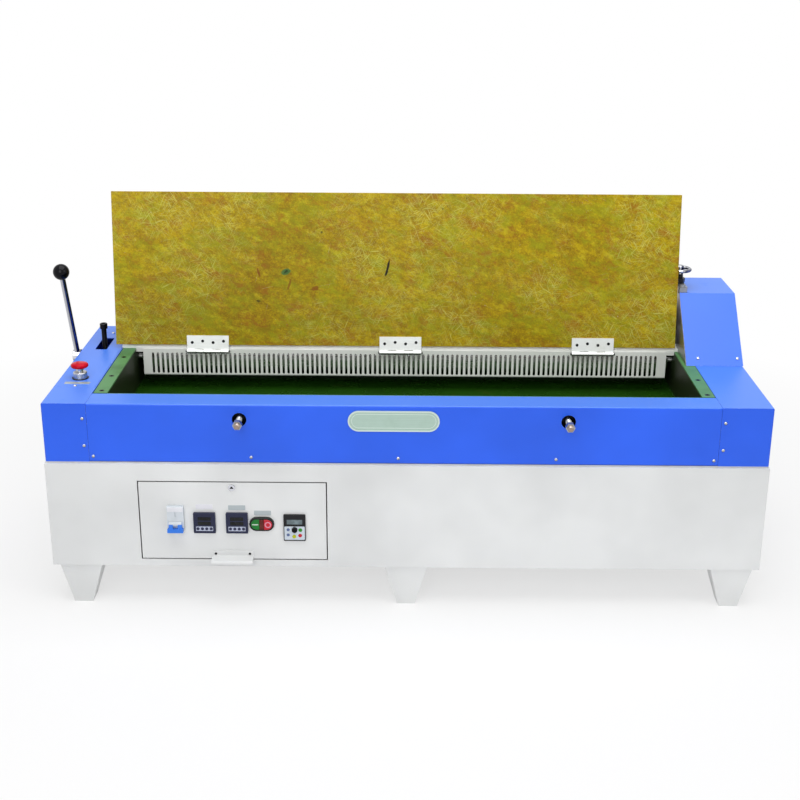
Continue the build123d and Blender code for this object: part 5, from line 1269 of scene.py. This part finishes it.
class COATER_OT_buttons(bpy.types.Operator):
    """Marks the start and stop buttons and sets the lamp between them"""
    bl_idname = "coater.buttons"
    bl_label = "Push Buttons"

    def execute(self, context):
        dress(("twin_button_housing",), "device_black")
        dress(("start_button",), "button_green")
        dress(("stop_button",), "button_red")
        x, z = -316.1, 196.4
        plate("button_lamp", "drawer", facing_front(at(x, -11.0, z)), rounded_outline(8.8, 23.0, 0.8),
              1.0, "lamp_lens", edge=0.4)
        start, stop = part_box("start_button"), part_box("stop_button")
        middle = (start[0].x + start[1].x) / 2
        spot = Vector((middle, start[0].y, (start[0].z + start[1].z) / 2))
        plate("start_mark", "start", facing_front(spot), rounded_outline(13.5, 2.2, 0.4), 0.15,
              "mark_white")
        spot = Vector(((stop[0].x + stop[1].x) / 2, stop[0].y, (stop[0].z + stop[1].z) / 2))
        plate("stop_mark", "stop", facing_front(spot), circle(7.2), 0.15, "mark_pink",
              holes=(circle(4.6),))
        return {"FINISHED"}


class COATER_OT_keypad(bpy.types.Operator):
    """Fits the inverter keypad's display, membrane and keys"""
    bl_idname = "coater.keypad"
    bl_label = "Inverter Keypad"

    def execute(self, context):
        dress(("inverter_keypad",), "black_plastic")
        dress(("speed_dial",), "knob_plastic")
        x, z, face = -244.4, 188.0, -9.0
        plate("keypad_display", "drawer", facing_front(at(x, face + 1.0, z + 14.0)),
              rounded_outline(34.0, 11.2, 0.8), 0.7, "display_grey", edge=0.2)
        dial = joint_place("dial_turn")
        drop = (dial.z - at(x, face, z).z) * 1000
        # The membrane's hole clears the whole dial, which seats within the membrane's thickness.
        dial_low, dial_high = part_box("speed_dial")
        clear = (dial_high.x - dial_low.x) * 500 + 0.4
        outline = [(px, py - 12.2) for px, py in rounded_outline(44.5, 32.0, 2.0)]
        plate("keypad_membrane", "drawer", facing_front(at(x, face, z)), outline, 0.3, "membrane_pale",
              holes=(circle(clear, 32, 0.0, drop),))
        keys = (("key_blue", -13.9, -4.0, 3.5, "device_grey"),
                ("key_blue", -14.2, -16.4, 3.5, "device_grey"),
                ("key_green", 12.6, -4.7, 4.2, "button_green"),
                ("button_red", 12.0, -17.8, 4.2, "button_red"),
                ("key_yellow", -1.0, -20.4, 4.3, "toggle_blue"))
        for i, (finish, dx, dz, radius, slot) in enumerate(keys):
            bm = bmesh.new()
            profile = [(0, 0), (radius, 0), (radius * 0.98, 0.35), (radius * 0.75, 0.65), (0, 0.7)]
            add_lathe(bm, profile, facing_front(at(x + dx, face - 0.3, z + dz)), 28)
            new_piece(f"keypad_key_{i + 1}", mesh_from("key", bm), "drawer", finish)
        return {"FINISHED"}


class COATER_OT_labels(bpy.types.Operator):
    """Lays the bare label plates and finishes the badge"""
    bl_idname = "coater.labels"
    bl_label = "Label Plates"

    def execute(self, context):
        dress(("name_plate",), "badge_silver")
        drawer = (("left", -441.0, 235.5, "label_white", "device_grey"),
                  ("middle", -370.0, 233.5, "label_silver", "badge_silver"),
                  ("right", -314.0, 221.5, "label_silver", "badge_silver"))
        for name, x, z, finish, slot in drawer:
            plate(f"label_{name}", "drawer", facing_front(at(x, -4.0, z)), rounded_outline(37, 10.8, 1.0),
                  0.6, finish, edge=0.15)
        plate("estop_label", "machine", Matrix.Translation(at(-732.0, 133.0, 471.0)),
              rounded_outline(56, 14.0, 1.5), 0.5, "label_silver", edge=0.15)
        low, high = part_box("name_plate")
        middle = (low + high) / 2
        length, height = (high.x - low.x) * 1000, (high.z - low.z) * 1000
        face = facing_front(Vector((middle.x, low.y, middle.z)))
        rim_holes = rounded_outline(length - 6.4, height - 6.4, height, 16)
        plate("badge_rim", "machine", face, rounded_outline(length - 0.6, height - 0.6, height, 16), 0.25,
              "badge_rim", holes=(rim_holes,))
        inside = facing_front(Vector((middle.x, low.y + 0.00088, middle.z)))
        plate("badge_line", "machine", inside, rounded_outline(length - 15, height - 15, height, 16), 0.2,
              "badge_rim", holes=(rounded_outline(length - 17, height - 17, height, 16),))
        return {"FINISHED"}


class COATER_OT_lock(bpy.types.Operator):
    """Dresses the drawer's lock and the screws of its pull handle"""
    bl_idname = "coater.lock"
    bl_label = "Lock and Handle Screws"

    def execute(self, context):
        dress(("drawer_lock",), "chrome_trim")
        spot = joint_place("lock_turn")
        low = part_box("drawer_lock")[0]
        # The keyway is a thin black plate: painted shade in the keyhole.
        plate("lock_keyway", "lock", facing_front(Vector((spot.x, low.y, spot.z))),
              [(-4.6, -2.2), (4.6, -2.2), (0.8, 3.2), (-0.8, 3.2)], 0.25, "black_plastic",
              edge=0.1)
        handle_low, handle_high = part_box("drawer_handle")
        way = Vector((0, -1, 0))
        places = [(Vector((x, handle_high.y - 0.0021, handle_high.z - 0.0075)), way, 0.4)
                  for x in (handle_low.x + 0.008, handle_high.x - 0.008)]
        fasteners("handle_screws", places, "hex", 2.8, 1.8, "drawer", "black_screws")
        return {"FINISHED"}


class COATER_OT_estop(bpy.types.Operator):
    """Seats the emergency stop on its dark ring and turns its red head and bright stem"""
    bl_idname = "coater.estop"
    bl_label = "Emergency Stop"

    def execute(self, context):
        dress(("estop_housing",), "silver_collar")
        low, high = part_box("estop_mushroom")
        base = Vector(((low.x + high.x) / 2, (low.y + high.y) / 2, low.z))
        wide, tall = (high.x - low.x) * 500, (high.z - low.z) * 1000
        cap = [(wide * 0.55, tall - 13.0), (wide * 0.90, tall - 10.6), (wide * 0.99, tall - 8.8),
               (wide, tall - 6.8), (wide * 0.985, tall - 4.6), (wide * 0.88, tall - 2.2),
               (wide * 0.62, tall - 0.6), (0, tall)]
        bm = bmesh.new()
        add_lathe(bm, [(0, tall - 13.0), *cap], Matrix.Translation(base), 56)
        count = len(bm.faces)
        # The stem runs in the housing's bore, and its collar stays above the housing when pressed.
        stem, collar, seat = 7.0, wide * 0.42, 23.5
        end = tall - 12.8
        add_lathe(bm, [(0, 0), (stem, 0), (stem, seat), (collar, seat), (collar, end), (0, end)],
                  Matrix.Translation(base), 40)
        mesh = two_tone("estop_head", bm, count, ("estop_red", "silver_collar"))
        new_piece("estop_head", mesh, "estop", None, ("estop_mushroom",))
        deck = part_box("left_top_cover")[1].z
        place = Vector(((low.x + high.x) / 2, (low.y + high.y) / 2, deck))
        plate("estop_ring", "machine", Matrix.Translation(place), circle(18.6, 48), 1.2, "black_plastic",
              holes=(circle(15.6, 48),))
        return {"FINISHED"}


class COATER_OT_stage(bpy.types.Operator):
    """Lays the pale floor, hangs the studio lights and stands the camera"""
    bl_idname = "coater.stage"
    bl_label = "Studio"

    def execute(self, context):
        sizes = context.scene.coater
        scene = bpy.context.scene
        scene.view_settings.view_transform = "Standard"
        mesh = bpy.data.meshes.new("studio_floor")
        reach = 45.0
        mesh.from_pydata([(-reach, -reach, 0), (reach, -reach, 0), (reach, reach, 0), (-reach, reach, 0)],
                         [], [(0, 1, 2, 3)])
        mesh.materials.append(materials["studio_floor"])
        floor = bpy.data.objects.new("studio_floor", mesh)
        scene.collection.objects.link(floor)
        for name, place, width, energy, aim in (
                ("overhead_softbox", (0.0, -0.4, 3.6), 3.4, sizes.overhead, (0.0, 0.0, 0.2)),
                ("front_softbox", (-0.9, -4.6, 2.6), 2.8, sizes.front_light, (0.0, 0.0, 0.35)),
                ("side_softbox", (3.6, -2.2, 2.4), 2.0, sizes.side_light, (0.1, 0.0, 0.4))):
            light = bpy.data.lights.new(name, "AREA")
            light.shape = "SQUARE"
            light.size = width
            light.energy = energy
            lamp = bpy.data.objects.new(name, light)
            lamp.location = place
            lamp.rotation_euler = (Vector(place) - Vector(aim)).to_track_quat("Z", "Y").to_euler()
            scene.collection.objects.link(lamp)
        world = bpy.data.worlds.new("studio")
        world.use_nodes = True
        tree = world.node_tree
        tree.nodes.clear()
        output = tree.nodes.new("ShaderNodeOutputWorld")
        background = tree.nodes.new("ShaderNodeBackground")
        path = tree.nodes.new("ShaderNodeLightPath")
        first, second = tree.nodes.new("ShaderNodeMath"), tree.nodes.new("ShaderNodeMath")
        first.operation = second.operation = "MAXIMUM"
        level = tree.nodes.new("ShaderNodeMapRange")
        level.inputs["To Min"].default_value = sizes.ambient
        level.inputs["To Max"].default_value = 1.0
        tree.links.new(path.outputs["Is Camera Ray"], first.inputs[0])
        tree.links.new(path.outputs["Is Glossy Ray"], first.inputs[1])
        tree.links.new(first.outputs[0], second.inputs[0])
        tree.links.new(path.outputs["Is Transmission Ray"], second.inputs[1])
        tree.links.new(second.outputs[0], level.inputs["Value"])
        tree.links.new(level.outputs["Result"], background.inputs["Strength"])
        background.inputs["Color"].default_value = (1.0, 1.0, 1.0, 1.0)
        tree.links.new(background.outputs["Background"], output.inputs["Surface"])
        scene.world = world
        pitch, yaw, roll = 0.346101, -0.004693, 0.005794
        ahead = Vector((math.sin(yaw), math.cos(yaw), 0))
        up = Vector((0, 0, 1))
        forward = ahead * math.cos(pitch) - up * math.sin(pitch)
        top = ahead * math.sin(pitch) + up * math.cos(pitch)
        right = Vector((math.cos(yaw), -math.sin(yaw), 0))
        across = right * math.cos(roll) + top * math.sin(roll)
        upward = top * math.cos(roll) - right * math.sin(roll)
        lens = bpy.data.cameras.new("photo_camera")
        lens.lens = 59.30
        lens.sensor_width = 36.0
        lens.clip_start = 0.1
        lens.clip_end = 200.0
        camera = bpy.data.objects.new("photo_camera", lens)
        turn = Matrix((across, upward, -forward)).transposed().to_4x4()
        camera.matrix_world = Matrix.Translation((0.016414, -2.905278, 1.431042)) @ turn
        scene.collection.objects.link(camera)
        scene.camera = camera
        return {"FINISHED"}


STEPS = (
    COATER_OT_finishes, COATER_OT_casings, COATER_OT_board, COATER_OT_tank, COATER_OT_rollers,
    COATER_OT_lever, COATER_OT_adjusters, COATER_OT_screws, COATER_OT_guard, COATER_OT_breaker,
    COATER_OT_controllers, COATER_OT_buttons, COATER_OT_keypad, COATER_OT_labels, COATER_OT_lock,
    COATER_OT_estop, COATER_OT_stage,
)


class CoaterSettings(bpy.types.PropertyGroup):
    slot_count: bpy.props.IntProperty(
        name="Slots", description="How many slots the guard has", default=105, min=2, max=200)
    slot_width: bpy.props.FloatProperty(
        name="Slot Width", description="Width of one slot in the guard", default=0.006, subtype="DISTANCE",
        unit="LENGTH")
    slot_length: bpy.props.FloatProperty(
        name="Slot Length", description="Height of one slot in the guard", default=0.052,
        subtype="DISTANCE", unit="LENGTH")
    slot_end_inset: bpy.props.FloatProperty(
        name="Slot End Inset", description="From the guard's left end to its first slot's middle",
        default=0.0235, subtype="DISTANCE", unit="LENGTH")
    key_count: bpy.props.IntProperty(
        name="Keys", description="Keys in one controller's row", default=4, min=1, max=8)
    key_pitch: bpy.props.FloatProperty(
        name="Key Pitch", description="From one controller key to the next", default=0.0096,
        subtype="DISTANCE", unit="LENGTH")
    screw_pitch: bpy.props.FloatProperty(
        name="Screw Pitch", description="Thread pitch of the adjusters and the stop screw",
        default=0.00175, subtype="DISTANCE", unit="LENGTH")
    spindle_pitch: bpy.props.FloatProperty(
        name="Spindle Pitch", description="Thread pitch of the two lift spindles", default=0.004,
        subtype="DISTANCE", unit="LENGTH")
    overhead: bpy.props.FloatProperty(
        name="Overhead Light", description="Power of the softbox above, in watts", default=112.0)
    front_light: bpy.props.FloatProperty(
        name="Front Light", description="Power of the softbox in front, in watts", default=72.0)
    side_light: bpy.props.FloatProperty(
        name="Side Light", description="Power of the softbox at the right, in watts", default=20.0)
    ambient: bpy.props.FloatProperty(
        name="Ambient", description="Brightness of the room as the surfaces see it", default=0.25)


class COATER_PT_panel(bpy.types.Panel):
    bl_label = "Roller Coater"
    bl_idname = "COATER_PT_panel"
    bl_space_type = "VIEW_3D"
    bl_region_type = "UI"
    bl_category = "Roller Coater"

    def draw(self, context):
        column = self.layout.column()
        for name in CoaterSettings.__annotations__:
            column.prop(context.scene.coater, name)
        for step in STEPS:
            column.operator(step.bl_idname)


CLASSES = (CoaterSettings, *STEPS, COATER_PT_panel)


def register():
    for item in CLASSES:
        bpy.utils.register_class(item)
    bpy.types.Scene.coater = bpy.props.PointerProperty(type=CoaterSettings)


def unregister():
    del bpy.types.Scene.coater
    for item in reversed(CLASSES):
        bpy.utils.unregister_class(item)


def main():
    register()
    for step in STEPS:
        family, name = step.bl_idname.split(".")
        getattr(getattr(bpy.ops, family), name)()


if __name__ == "__main__":
    main()
